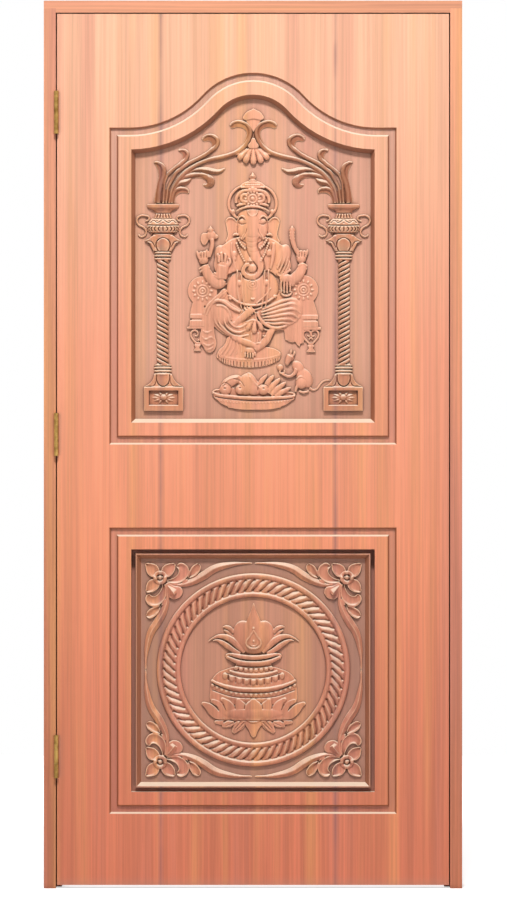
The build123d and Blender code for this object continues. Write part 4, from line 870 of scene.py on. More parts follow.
        (5, 0.6, False, [(303.2, 327), (321.2, 327), (321.2, 329.8), (303.2, 329.8)]),
        (4.6, 0.9, False, [(307.6, 345.4), (314.4, 345.4), (313.2, 348.4), (316, 352.4), (306, 352.4),
            (308.8, 348.4)]),
    ],
    "discs": [(202.5, 291), (303.6, 290)],
    "volutes": [
        (2, [(311, 344.6, 1), (306.2, 340.2, 1.1), (303.4, 335.4, 1.1), (304.6, 331.4, 1.1),
            (308.2, 330.6, 1.1), (310.6, 333.2, 1), (309.4, 336.2, 0.9), (307.2, 335.4, 0.8)]),
        (2, [(311, 344.6, 1), (315.8, 340.2, 1.1), (318.6, 335.4, 1.1), (317.4, 331.4, 1.1),
            (313.8, 330.6, 1.1), (311.4, 333.2, 1), (312.6, 336.2, 0.9), (314.8, 335.4, 0.8)]),
        (2, [(309, 339.6, 0.8), (311, 338, 1), (313, 339.6, 0.8)]),
        (2, [(308.4, 344.2, 0.9), (311, 343.4, 1.1), (313.6, 344.2, 0.9)]),
        (2, [(197.6, 344.2, 1), (193, 339.6, 1.1), (190.8, 334.8, 1.1), (192.2, 331.2, 1.1),
            (195.8, 330.6, 1.1), (197.8, 333.2, 1), (196.6, 336, 0.9), (194.6, 335.2, 0.8)]),
        (2, [(194.6, 343.6, 0.9), (197.6, 343, 1.1), (200.6, 343.6, 0.9)]),
        (2, [(197.6, 341, 1), (200.4, 337.6, 1.1), (201.4, 332, 1.1)]),
    ],
    "drapes": [
        (5, 1.4, True, [(225.6, 289), (216.4, 296), (207.6, 304), (202.8, 311.6), (201.4, 327), (199.8, 341),
            (203, 346.6), (206, 351.4), (210.8, 352.6), (216, 346), (214.6, 334), (214.2, 320),
            (217.6, 306)]),
        (4.2, 0.9, False, [(283, 322), (304, 316), (304, 343.2), (300.8, 343.6), (299.6, 347), (297.2, 344.8),
            (295.4, 341.8), (292.4, 342.6), (289, 341.6), (285.2, 339.6), (284.6, 333)]),
    ],
    "drapeFolds": [
        (4.6, [(224.6, 289.4, 0.9), (214, 299.4, 1.3), (206.6, 307, 1.2), (203.6, 314, 0.9)]),
        (4.8, [(225.4, 291.4, 0.8), (216, 300.4, 1.2), (209.4, 307.6, 1.2), (206.4, 315, 0.9)]),
        (4.4, [(208.4, 314, 0.7), (208, 324, 0.8), (207.4, 330, 0.6)]),
        (4.6, [(203, 330.8, 0.8), (207, 332.6, 1.2), (211.6, 330.4, 0.9)]),
        (4.6, [(202, 336.4, 0.8), (205.6, 339.4, 1.3), (211, 337.2, 1.1), (214, 339, 0.8)]),
        (4.6, [(203.2, 343.4, 0.9), (208.2, 345.8, 1.2), (213.6, 343, 0.9)]),
        (4.6, [(206.6, 350.2, 0.8), (210.2, 349, 1.2), (213.4, 347.2, 0.8)]),
        (3.8, [(288.6, 329, 0.6), (288.4, 335, 0.8), (288, 340.4, 0.6)]),
        (3.8, [(293.4, 327, 0.6), (293.4, 334, 0.8), (293, 341, 0.6)]),
        (3.8, [(298.2, 324, 0.6), (298.4, 333, 0.8), (298.6, 343, 0.6)]),
        (3.8, [(302.8, 320, 0.6), (303, 331, 0.8), (303, 342, 0.6)]),
    ],
    "legPlates": [
        (6, 2.6, True, [(215.4, 298.4), (223, 299), (233.6, 304.8), (241.4, 309.4), (250, 311), (257, 318),
            (262, 330), (257, 345.4), (247, 342.6), (237.4, 339.5), (227.8, 334.7), (218.3, 328),
            (212.5, 320.4), (210.4, 309.4), (211.6, 303)]),
        (6, 2.4, True, [(255.6, 311.8), (270, 304.6), (283, 299), (292, 297.4), (299.6, 301.4), (302.2, 309),
            (300, 318), (290, 325.4), (277, 328.4), (266, 326.4), (258.6, 318.6)]),
        (4.4, 1, True, [(229.4, 336), (241, 341), (245, 350), (238, 354), (224, 357.6), (217.4, 358.4),
            (217.8, 351.6), (224.4, 344.6)]),
    ],
    "legMounds": [
        (223.6, 313.4, 12.6, 13.6, 2, 8, 0), (238, 325, 15, 11, 2, 6.8, -32),
        (282, 312.4, 20, 12.4, 2, 8.6, 10),
        (292, 308, 10, 10.4, 2, 8.2, 0), (250, 351.2, 6, 4.4, 2.6, 6, 0),
        (234.2, 323, 1.8, 1.5, 8.6, 2.6, 35),
        (236.2, 324.4, 1.6, 1.4, 8.4, 2.4, 35), (240, 318.8, 3, 2.2, 9.4, 3, 38),
    ],
    "legFolds": [
        (8, [(212.8, 303.6, 1, -2), (217, 300.6, 1.5), (223.4, 302, 1.8, 1), (231.6, 308, 1.6, 1),
            (240, 311.8, 1)]),
        (8.4, [(216.4, 305.6, 0.8, -1), (224, 306.6, 1.1, 1), (229.6, 313, 1.1, 1), (231.4, 320, 0.9)]),
        (9, [(229.6, 311, 0.8), (228.4, 317, 1.1), (231.6, 324, 1.2), (238.6, 327.4, 1.1),
            (248, 323, 0.7, -1)]),
        (8.4, [(224.8, 314, 0.7), (224.6, 321, 1, 0.6), (229.4, 328.8, 1.1, 0.6), (238.4, 332.4, 1),
            (248, 329, 0.7, -1)]),
        (7.4, [(219.4, 312, 0.7), (218.6, 320.4, 0.9, 0.8), (224, 328.8, 1, 0.6), (236, 336.4, 1),
            (249, 335, 0.7, -0.6)]),
        (6, [(213.8, 314, 0.7), (215.4, 321.6, 0.9), (222, 329.8, 0.9), (233, 336.8, 0.9), (246, 341, 0.7)]),
        (7.2, [(252, 324, 0.7), (251.4, 333, 0.8), (252.4, 342, 0.6, -1)]),
        (7.2, [(258.4, 333, 0.7), (258, 339, 0.8), (256.6, 345, 0.6, -1)]),
    ],
    "pleats": [
        (6.6, [(262, 309.8, 0.7), (272, 305.6, 1.2, 1.4), (283, 301.4, 1.5, 1.2), (292, 299.6, 1.3),
            (298, 301.6, 0.8, -2)]),
        (7.6, [(261, 312.4, 0.7), (272, 309.2, 1.2, 1.8), (284, 305.4, 1.6, 2), (294, 304.2, 1.5, 0.6),
            (300.6, 307.6, 0.8, -2.4)]),
        (8, [(261.4, 315, 0.7), (273, 312.8, 1.2, 2), (285, 310, 1.6, 2.2), (294.6, 309.4, 1.5, 0.8),
            (300.6, 313.2, 0.8, -2.6)]),
        (8, [(262.6, 317.6, 0.7), (274, 316.4, 1.2, 2), (285, 314.6, 1.6, 2), (293, 314.6, 1.4, 0.6),
            (298.4, 318.2, 0.8, -2.4)]),
        (7.4, [(264.2, 320.2, 0.7), (274.6, 320.2, 1.2, 1.6), (284, 319.2, 1.5, 1.4), (290.4, 319.4, 1.2),
            (295, 321.8, 0.7, -2)]),
        (6.8, [(266.2, 322.8, 0.7), (275, 323.8, 1.2, 1.2), (283, 323.2, 1.3, 0.6), (289.6, 324, 0.8, -1.4)]),
        (6.6, [(257.4, 312.4, 1.2), (260.4, 319, 1.6, 0.8), (267, 325.4, 1.7, 0.8), (276.4, 328, 1.5),
            (287, 325.8, 1, -0.4)]),
        (6.6, [(254.8, 312, 0.8), (256.8, 320, 0.9), (263, 328.4, 0.9), (272, 331, 0.7)]),
    ],
    "limbs": [
        (8, [(251.4, 309.6, 3.4), (247.4, 313.4, 3.8, 0.4), (242.6, 317.6, 3.5, 0.4), (237.6, 321.6, 2.8),
            (233.8, 324, 1.7)]),
        (5.4, [(274, 328, 2.4), (270.4, 332.6, 3.5), (266.4, 340, 3.9), (260.6, 345.8, 3.4),
            (255, 349.6, 2.8)]),
        (5.6, [(232, 336.4, 2.4), (241, 340.4, 3.1), (249.4, 343.6, 3.2), (256.4, 347, 2.4),
            (258, 349.4, 1.6)]),
    ],
    "limbLines": [
        (9.6, [(244.4, 308.6, 0.7), (247.6, 311.4, 0.9, 0.8), (251, 315.8, 0.7)]),
        (9.6, [(246.6, 306.6, 0.7), (249.8, 309.6, 0.9, 0.8), (253, 314, 0.7)]),
        (9, [(249.4, 305.6, 0.7), (252.4, 308.6, 0.9, 0.4), (255.4, 313.4, 0.7)]),
        (7.6, [(262.4, 335.6, 0.7), (266.4, 336.8, 0.9, 0.8), (270.6, 336.8, 0.7)]),
        (7.6, [(256, 343.4, 0.6), (260.6, 343.6, 0.8, 0.8), (263.4, 346.4, 0.6)]),
        (6.6, [(245.4, 353, 1.1), (245, 357, 0.9)]),
        (7, [(247.9, 353.4, 1.1), (247.7, 357.8, 0.9)]),
        (7, [(250.4, 353.6, 1.1), (250.4, 358, 0.9)]),
        (7, [(252.8, 353.4, 1.1), (252.9, 357.6, 0.9)]),
        (6.4, [(255, 352.4, 1), (255.4, 355.8, 0.8)]),
        (4.2, [(230, 336.8, 0.9), (226.6, 345.6, 1.1), (218, 358, 1)]),
        (4.2, [(231.8, 338, 0.8), (230.2, 346.4, 1), (224, 356, 0.9)]),
        (4.2, [(234, 339.4, 0.8), (233.8, 347.4, 1), (230.4, 355, 0.9)]),
        (4.2, [(236.6, 340.4, 0.8), (237.6, 347.4, 1), (236.2, 353.8, 0.9)]),
        (4.2, [(239.4, 341.4, 0.8), (241.4, 347, 1), (241.8, 352, 0.8)]),
        (7.6, [(246.4, 322.4, 0.7), (252.6, 320.4, 1.1), (259.4, 322, 0.7)]),
    ],
    "tassels": [
        (7, [(252.6, 321.6, 0.9), (249.6, 324.8, 2.2), (248, 328.2, 2.5), (247.6, 330.4, 1.2)]),
        (7.8, [(255, 321.6, 0.9), (254.4, 326, 2.4), (254.2, 330.6, 2.9), (254.2, 333.2, 1.4)]),
        (7, [(257.2, 321.6, 0.9), (260, 325, 2.2), (261.4, 328.4, 2.5), (261.8, 330.6, 1.2)]),
    ],
    "veins": [
        (1.8, [(236.2, 213.4, 0.9), (241, 210.4, 1.1), (252.6, 208.6, 1.2), (264.2, 210.4, 1.1),
            (269, 213.4, 0.9)]),
        (1.6, [(238.2, 222.6, 0.8), (242.2, 224.4, 1), (246, 223.2, 0.8)]),
        (1.6, [(259, 223.2, 0.8), (262.8, 224.4, 1), (266.8, 222.6, 0.8)]),
        (1.4, [(238, 220.4, 0.7), (241.8, 217.8, 0.9), (245.4, 220, 0.7)]),
        (1.4, [(259.6, 220, 0.7), (263.2, 217.8, 0.9), (267, 220.4, 0.7)]),
        (2, [(246.6, 229, 0.8), (246, 232, 1.1), (243.4, 236.4, 1.4), (242.2, 240.6, 1.2), (246, 243.6, 1.1),
            (246.4, 248.4, 1.2), (248.4, 254, 1.2), (251.6, 259.6, 1.2), (255.4, 264.2, 1.1),
            (257.2, 268.4, 1), (255, 272, 0.9), (250.6, 272.6, 0.9)]),
        (2, [(258.4, 229, 0.8), (259, 232, 1.1), (261.2, 236.4, 1.4), (261.6, 240.6, 1.2), (257.6, 244, 1.1),
            (258.6, 249.6, 1.2), (261.2, 255.6, 1.2), (263.8, 261, 1.1), (264.6, 268, 1.1),
            (261.4, 275.8, 1.1), (254, 280.2, 1.1), (244.6, 278.2, 1.1), (240.4, 271.4, 1)]),
        (0.9, [(247.6, 236.6, 0.7), (252.4, 237.4, 0.9), (257.4, 236.6, 0.7)]),
        (0.8, [(247.4, 241.4, 0.7), (252, 242.4, 0.9), (256.4, 241.4, 0.7)]),
        (0.8, [(247.8, 246.4, 0.7), (252.4, 247.4, 0.9), (257, 246, 0.7)]),
        (0.8, [(249.4, 251.4, 0.7), (253.8, 252.2, 0.9), (258.6, 250.6, 0.7)]),
        (2.2, [(229.2, 274, 1), (226, 281, 1.3), (225.6, 288.6, 1.3), (228, 294.4, 1.1)]),
        (2.2, [(276.2, 274, 1), (279.2, 281, 1.3), (279.8, 288.6, 1.3), (277.4, 294.4, 1.1)]),
        (1.2, [(239.6, 271, 0.8), (239.4, 280, 0.9)]),
        (1.2, [(239.6, 286.6, 0.9), (240.6, 296, 0.9), (243.4, 307.6, 0.8)]),
        (1.2, [(266.6, 271, 0.8), (266.6, 279.6, 0.9)]),
        (1.2, [(266.4, 286, 0.9), (265.4, 296, 0.9), (263.2, 307.6, 0.8)]),
        (1.6, [(200.9, 252, 0.6), (200.9, 258, 0.9)]),
        (1.6, [(203.7, 252, 0.6), (203.7, 258, 0.9)]),
        (1.5, [(206.2, 252, 0.6), (206.3, 257.4, 0.8)]),
        (1.6, [(299.4, 251.6, 0.6), (299.2, 257, 0.9)]),
        (1.6, [(302.2, 251.4, 0.6), (301.8, 256.6, 0.9)]),
        (1.5, [(304.9, 252, 0.6), (304.4, 256.8, 0.8)]),
        (1.5, [(220.4, 254.6, 0.6), (220.4, 262, 0.9)]),
        (1.5, [(223.6, 254, 0.6), (223.6, 261.6, 0.9)]),
        (1.5, [(227.4, 256, 0.6), (226.4, 262.4, 0.9)]),
        (2.4, [(282.8, 282, 0.7), (282.8, 293, 0.8)]),
        (2.4, [(285.7, 282, 0.7), (285.8, 294, 0.8)]),
        (2.4, [(288.6, 282, 0.7), (288.8, 293, 0.8)]),
        (1.8, [(252.4, 324.4, 0.6), (251, 332, 0.8)]),
        (1.8, [(256.8, 324.4, 0.6), (258, 332, 0.8)]),
        (2.6, [(246.4, 355.4, 0.6), (246.4, 352, 0.8)]),
        (2.4, [(249.1, 357.6, 0.6), (249.1, 353, 0.8)]),
        (2.4, [(251.7, 357.8, 0.6), (251.6, 353, 0.8)]),
    ],
    "pedestal": [
        (4.2, 0.9, True, [(217.2, 356.6), (222, 350), (236, 346.2), (252, 345.6), (266, 346.8), (277, 349.8),
            (281.2, 354.4), (279.6, 359), (270, 364.6), (256, 367.4), (244, 367.4), (230, 365.4),
            (220.6, 361.4)]),
    ],
}


def makeFigure():
    mid = figure["middle"]
    mirroredCurls = figure["crownCurls"] + flipped(figure["crownCurls"], mid)
    pieces = [plates(figure["headPlates"] + figure["bodyPlates"] + figure["axe"])]
    upper = figure["crownMounds"] + figure["headMounds"] + figure["bodyMounds"] + figure["armMounds"]
    pieces.append(mounds(upper, segments=28, rings=14))
    pieces.append(strokes(figure["crownLines"] + mirroredCurls))
    pieces.append(strokes(figure["mark"] + figure["bodyFine"] + figure["hands"] + figure["rings"]))
    pieces.append(strokes(figure["trunk"], flat=0.32, sides=4, steps=8))
    pieces.append(strokes(figure["arms"], flat=0.46, sides=4))
    pieces.append(strokes(figure["sleeve"] + figure["drapeFolds"] + figure["volutes"]))
    pieces.append(plates(figure["throne"] + figure["drapes"] + figure["legPlates"] + figure["pedestal"]))
    pieces.append(mounds(figure["legMounds"], segments=28, rings=14))
    pieces.append(strokes(figure["legFolds"] + figure["pleats"] + figure["limbLines"]))
    pieces.append(strokes(figure["limbs"], flat=0.55, sides=4))
    pieces.append(strokes(figure["tassels"], flat=0.7, sides=3))
    small = ringOfMounds(mid, *figure["crownPearls"]) + beadRow(*figure["capBeads"])
    for side in (1, -1):
        for line, *beads in figure["strings"]:
            small += beadRow([(mid - side * aside, py) for aside, py in line], *beads)
    rosette, loops = figure["rosette"], []
    for px, py in figure["discs"]:
        disc = [spot[:2] for spot in loopStroke(px, py, rosette["plate"], 0, 16)[:-1]]
        pieces.append(plates([(*rosette["disc"], True, disc)]))
        loops += [(lift, loopStroke(px, py, radius, halfWidth)) for lift, radius,
            halfWidth in rosette["loops"]]
        small += ringOfMounds(px, py, *rosette["pearls"])
        small.append((px, py, *rosette["knob"]))
    foot, flutes, rim = figure["foot"], [], []
    count, half, down, top, low = foot["flutes"]
    for i in range(count):  # upright flutes round the pedestal
        a = math.pi * (i + 0.5) / count
        px, drop = foot["px"] - half * math.cos(a), down * math.sin(a)
        thin, full = foot["fluteHalf"]
        flutes.append((foot["lift"], [(px, top + drop, thin), (px, low + drop, full)]))
    count, half, down, top = foot["rim"]
    for i in range(count + 1):
        a = math.pi * i / count
        rim.append((foot["px"] - half * math.cos(a), top + down * math.sin(a), foot["rimHalf"]))
    pieces.append(strokes(flutes + loops + [(foot["lift"], rim)]))
    pieces.append(mounds(small, segments=10, rings=6))
    veins = list(figure["veins"])
    count, half, down, top, low = foot["cuts"]
    for i in range(1, count):  # cuts between the flutes
        a = math.pi * i / count
        px, drop = foot["px"] - half * math.cos(a), down * math.sin(a)
        thin, full = foot["cutHalf"]
        veins.append((foot["cut"], [(px, top + drop, thin), (px, low + drop, full)]))
    return carve(pieces, "seatedFigure", figure["voxel"], upperField, veins)


# fruit tray and the mouse beside it
tray = {
    "voxel": 1.2, "dimples": [(224.8, 388.4), (240, 388), (263.6, 388.4)],
    "dimple": (3.4, 0.3, 1.5),  # depth, reach, half width
    "bowlBeads": ([(221, 400.6), (232, 402.4), (253, 403.4), (276, 402.6), (288, 400.8)], 22, 0.9, 4.8, 1.6),
    "plates": [
        (5, 1.8, True, [(213.4, 394.6), (223, 396.6), (253.7, 398.6), (285, 397.6), (294.6, 397.4),
            (290.4, 401.8), (284.3, 405.6), (271, 408.2), (237.4, 408.2), (225, 405.6), (217.6, 400.6)]),
        (2, 0.5, True, [(213.6, 393), (219, 390), (250, 388), (288, 391.6), (294, 395.6), (254, 398.4),
            (222, 395.8)]),
    ],
    "lines": [
        (5, [(212.4, 392.8, 1.2), (217, 394.8, 1.5), (230, 396.6, 1.6, 0.6), (253.7, 398.2, 1.7, 1),
            (280, 397.6, 1.6, 0.6), (291, 397, 1.5), (295.2, 395.6, 1.2)]),
        (2.6, [(212.4, 392.8, 1.1), (214, 390.8, 1), (218.4, 389.8, 1), (226, 390.8, 0.8)]),
        (2.6, [(295.2, 395.6, 1.1), (293.6, 393.6, 1), (290, 392.6, 1), (284, 392.6, 0.8)]),
        (3, [(228, 406.6, 1.1), (240, 408.4, 1.3), (253.7, 408.8, 1.3), (270, 408.4, 1.3),
            (281, 406.6, 1.1)]),
    ],
    "fruit": [
        (225.4, 389.6, 6, 5.8, 2, 7.6, 0), (240.2, 389.8, 5.2, 5.2, 2, 8, 0),
        (263.4, 390, 5.8, 5.4, 2, 8.2, 0),
        (231, 381.4, 11, 5.4, 1, 6.8, 26), (246.4, 384.4, 8.4, 11.4, 1, 8.6, -10),
        (253, 382.4, 4.6, 11.6, 1, 7.6, 28),
        (254, 388, 8, 8, 1, 7.4, 0),
    ],
    "bananas": [
        (3, [(259, 388, 2.4), (261.6, 381, 2.6), (265, 377, 2), (267.2, 374.2, 0.6)]),
        (3.4, [(264.4, 390, 2.4), (267.6, 383, 2.8), (271.6, 377.8, 2.4), (273.6, 375.2, 0.9)]),
        (3.8, [(268, 393, 2.4), (272.6, 386, 2.9), (277.6, 381, 2.5), (280.2, 378.2, 0.9)]),
        (4, [(271, 395, 2.4), (277, 389.4, 2.9), (283, 384.6, 2.4), (286, 382, 0.9)]),
        (4, [(275, 396, 2.2), (281.6, 392.4, 2.7), (287.6, 389.2, 2.2), (291, 387.4, 0.8)]),
        (8, [(222.4, 385.4, 0.5), (228, 380, 0.8, -0.6), (238.6, 377, 0.5)]),
        (8.2, [(249.6, 376.4, 0.5), (254, 382, 0.8), (260.4, 388.6, 0.5)]),
    ],
    "mouse": [
        (304.6, 377.8, 7.6, 11, 0.5, 6.2, 32), (301.6, 382.6, 6, 6.4, 2, 7, 0),
        (290, 357.6, 4.2, 4.2, 1, 6.2, 0),
        (298, 367, 5.4, 7.4, 0.5, 5.8, 38), (280.2, 367.6, 3.4, 3.4, 1, 6, 0),
    ],
    "veins": [
        (2, [(219.4, 387, 0.7), (222, 383.8, 0.9), (226.4, 383, 0.9), (230.6, 386, 0.8)]),
        (2, [(234.8, 389, 0.8), (236, 385.4, 0.9), (240.4, 383.8, 0.8)]),
        (2, [(257.6, 390, 0.8), (258.6, 386, 0.9), (262.4, 384, 0.9), (267.4, 385.4, 0.8)]),
        (2, [(233.6, 378.6, 0.7), (240, 380.6, 0.9), (244.4, 386.4, 0.8)]),
        (2.2, [(215, 396.8, 0.8), (232, 399.2, 1), (254, 400.6, 1), (280, 399.8, 1), (293, 398.2, 0.8)]),
    ],
    "mouseLines": [
        (3.6, [(290.4, 355.6, 3.6), (288.4, 360, 3.2), (287, 363.6, 2.2), (286.4, 365.2, 1)]),
        (4, [(290.4, 355, 1), (291, 351.6, 1.3), (291.2, 349.2, 0.6)]),
        (4, [(293.2, 356, 1), (294.4, 352.8, 1.3), (294.6, 350.6, 0.6)]),
        (4, [(296.4, 369, 2), (294, 374, 1.9), (289.4, 376.4, 1.6), (285, 375.2, 1.4), (281.4, 373.2, 1.2)]),
        (4, [(281.6, 373.6, 1.1), (279.8, 371.8, 0.9), (281, 370, 0.7)]),
        (4, [(282.6, 373.8, 1), (284.6, 371.6, 0.9), (284, 370, 0.7)]),
        (4.4, [(298.4, 384, 1.8), (296.4, 388, 1.5), (295.6, 392, 1.2)]),
        (3.4, [(299, 391, 1), (304, 392.4, 1.4), (309, 391, 1)]),
        (1.4, [(309.6, 388.2, 1.5), (313.4, 390, 1.3), (317.2, 388.4, 1.2), (320.4, 384.2, 1.1),
            (324, 381, 1), (330, 380, 0.8)]),
        (6.4, [(296, 379.6, 0.6), (300.4, 376.6, 0.9), (305.4, 378.4, 0.6)]),
    ],
}


def makeTray():
    pieces = [plates(tray["plates"]), strokes(tray["lines"])]
    pieces.append(mounds(tray["fruit"] + tray["mouse"], segments=24, rings=12))
    pieces.append(strokes(tray["bananas"], flat=0.7, sides=3))
    pieces.append(strokes(tray["mouseLines"], flat=0.75, sides=3))
    pieces.append(mounds(beadRow(*tray["bowlBeads"]), segments=8, rings=6))
    depth, reach, half = tray["dimple"]
    dimples = [(depth, [(px - reach, py, half), (px + reach, py, half)]) for px, py in tray["dimples"]]
    return carve(pieces, "fruitTrayAndMouse", tray["voxel"], upperField, dimples + tray["veins"], keep=1.0)


# rope wreath: two tubes and the strands between them
wreath = {
    "voxel": 1.25, "px": 253.4, "py": 670.2, "lift": 1.4, "deep": 5.6, "strands": 64,
    "tubes": [(75.4, 2.5, 1.1), (94.1, 2.8, 1.05), (84.4, 6.8, 0.44)],  # radius, half width, flatness
    "gap": [(79.4, -0.058, 2.2), (80.6, -0.041, 2.8), (82.2, -0.021, 3.2), (84.4, 0, 3.3), (86.8, 0.021, 3.2),
        (88.4, 0.042, 2.8), (89.6, 0.060, 2.2)],
}


def makeWreath():
    px, py = wreath["px"], wreath["py"]
    x, y = onBench(px, py)
    pieces = []
    for radius, tube, tall in wreath["tubes"]:
        deselectAll()
        bpy.ops.mesh.primitive_torus_add(
            location=(x, y, wreath["lift"] * mm), major_segments=160, minor_segments=16,
            major_radius=radius * perPx, minor_radius=tube * perPx)
        ring = bpy.context.object
        ring.scale = (1, 1, tall)
        applyAll(ring)
        pieces.append(ring)
    gaps = []
    for i in range(wreath["strands"]):  # s-shaped cuts part the rope into strands
        middle = 2 * math.pi * (i + 0.5) / wreath["strands"]
        line = []
        for radius, lead, halfWidth in wreath["gap"]:
            a = middle + lead
            line.append((px + radius * math.sin(a), py - radius * math.cos(a), halfWidth))
        gaps.append((wreath["deep"], line))
    return carve(pieces, "ropeWreath", wreath["voxel"], lowerField, gaps)


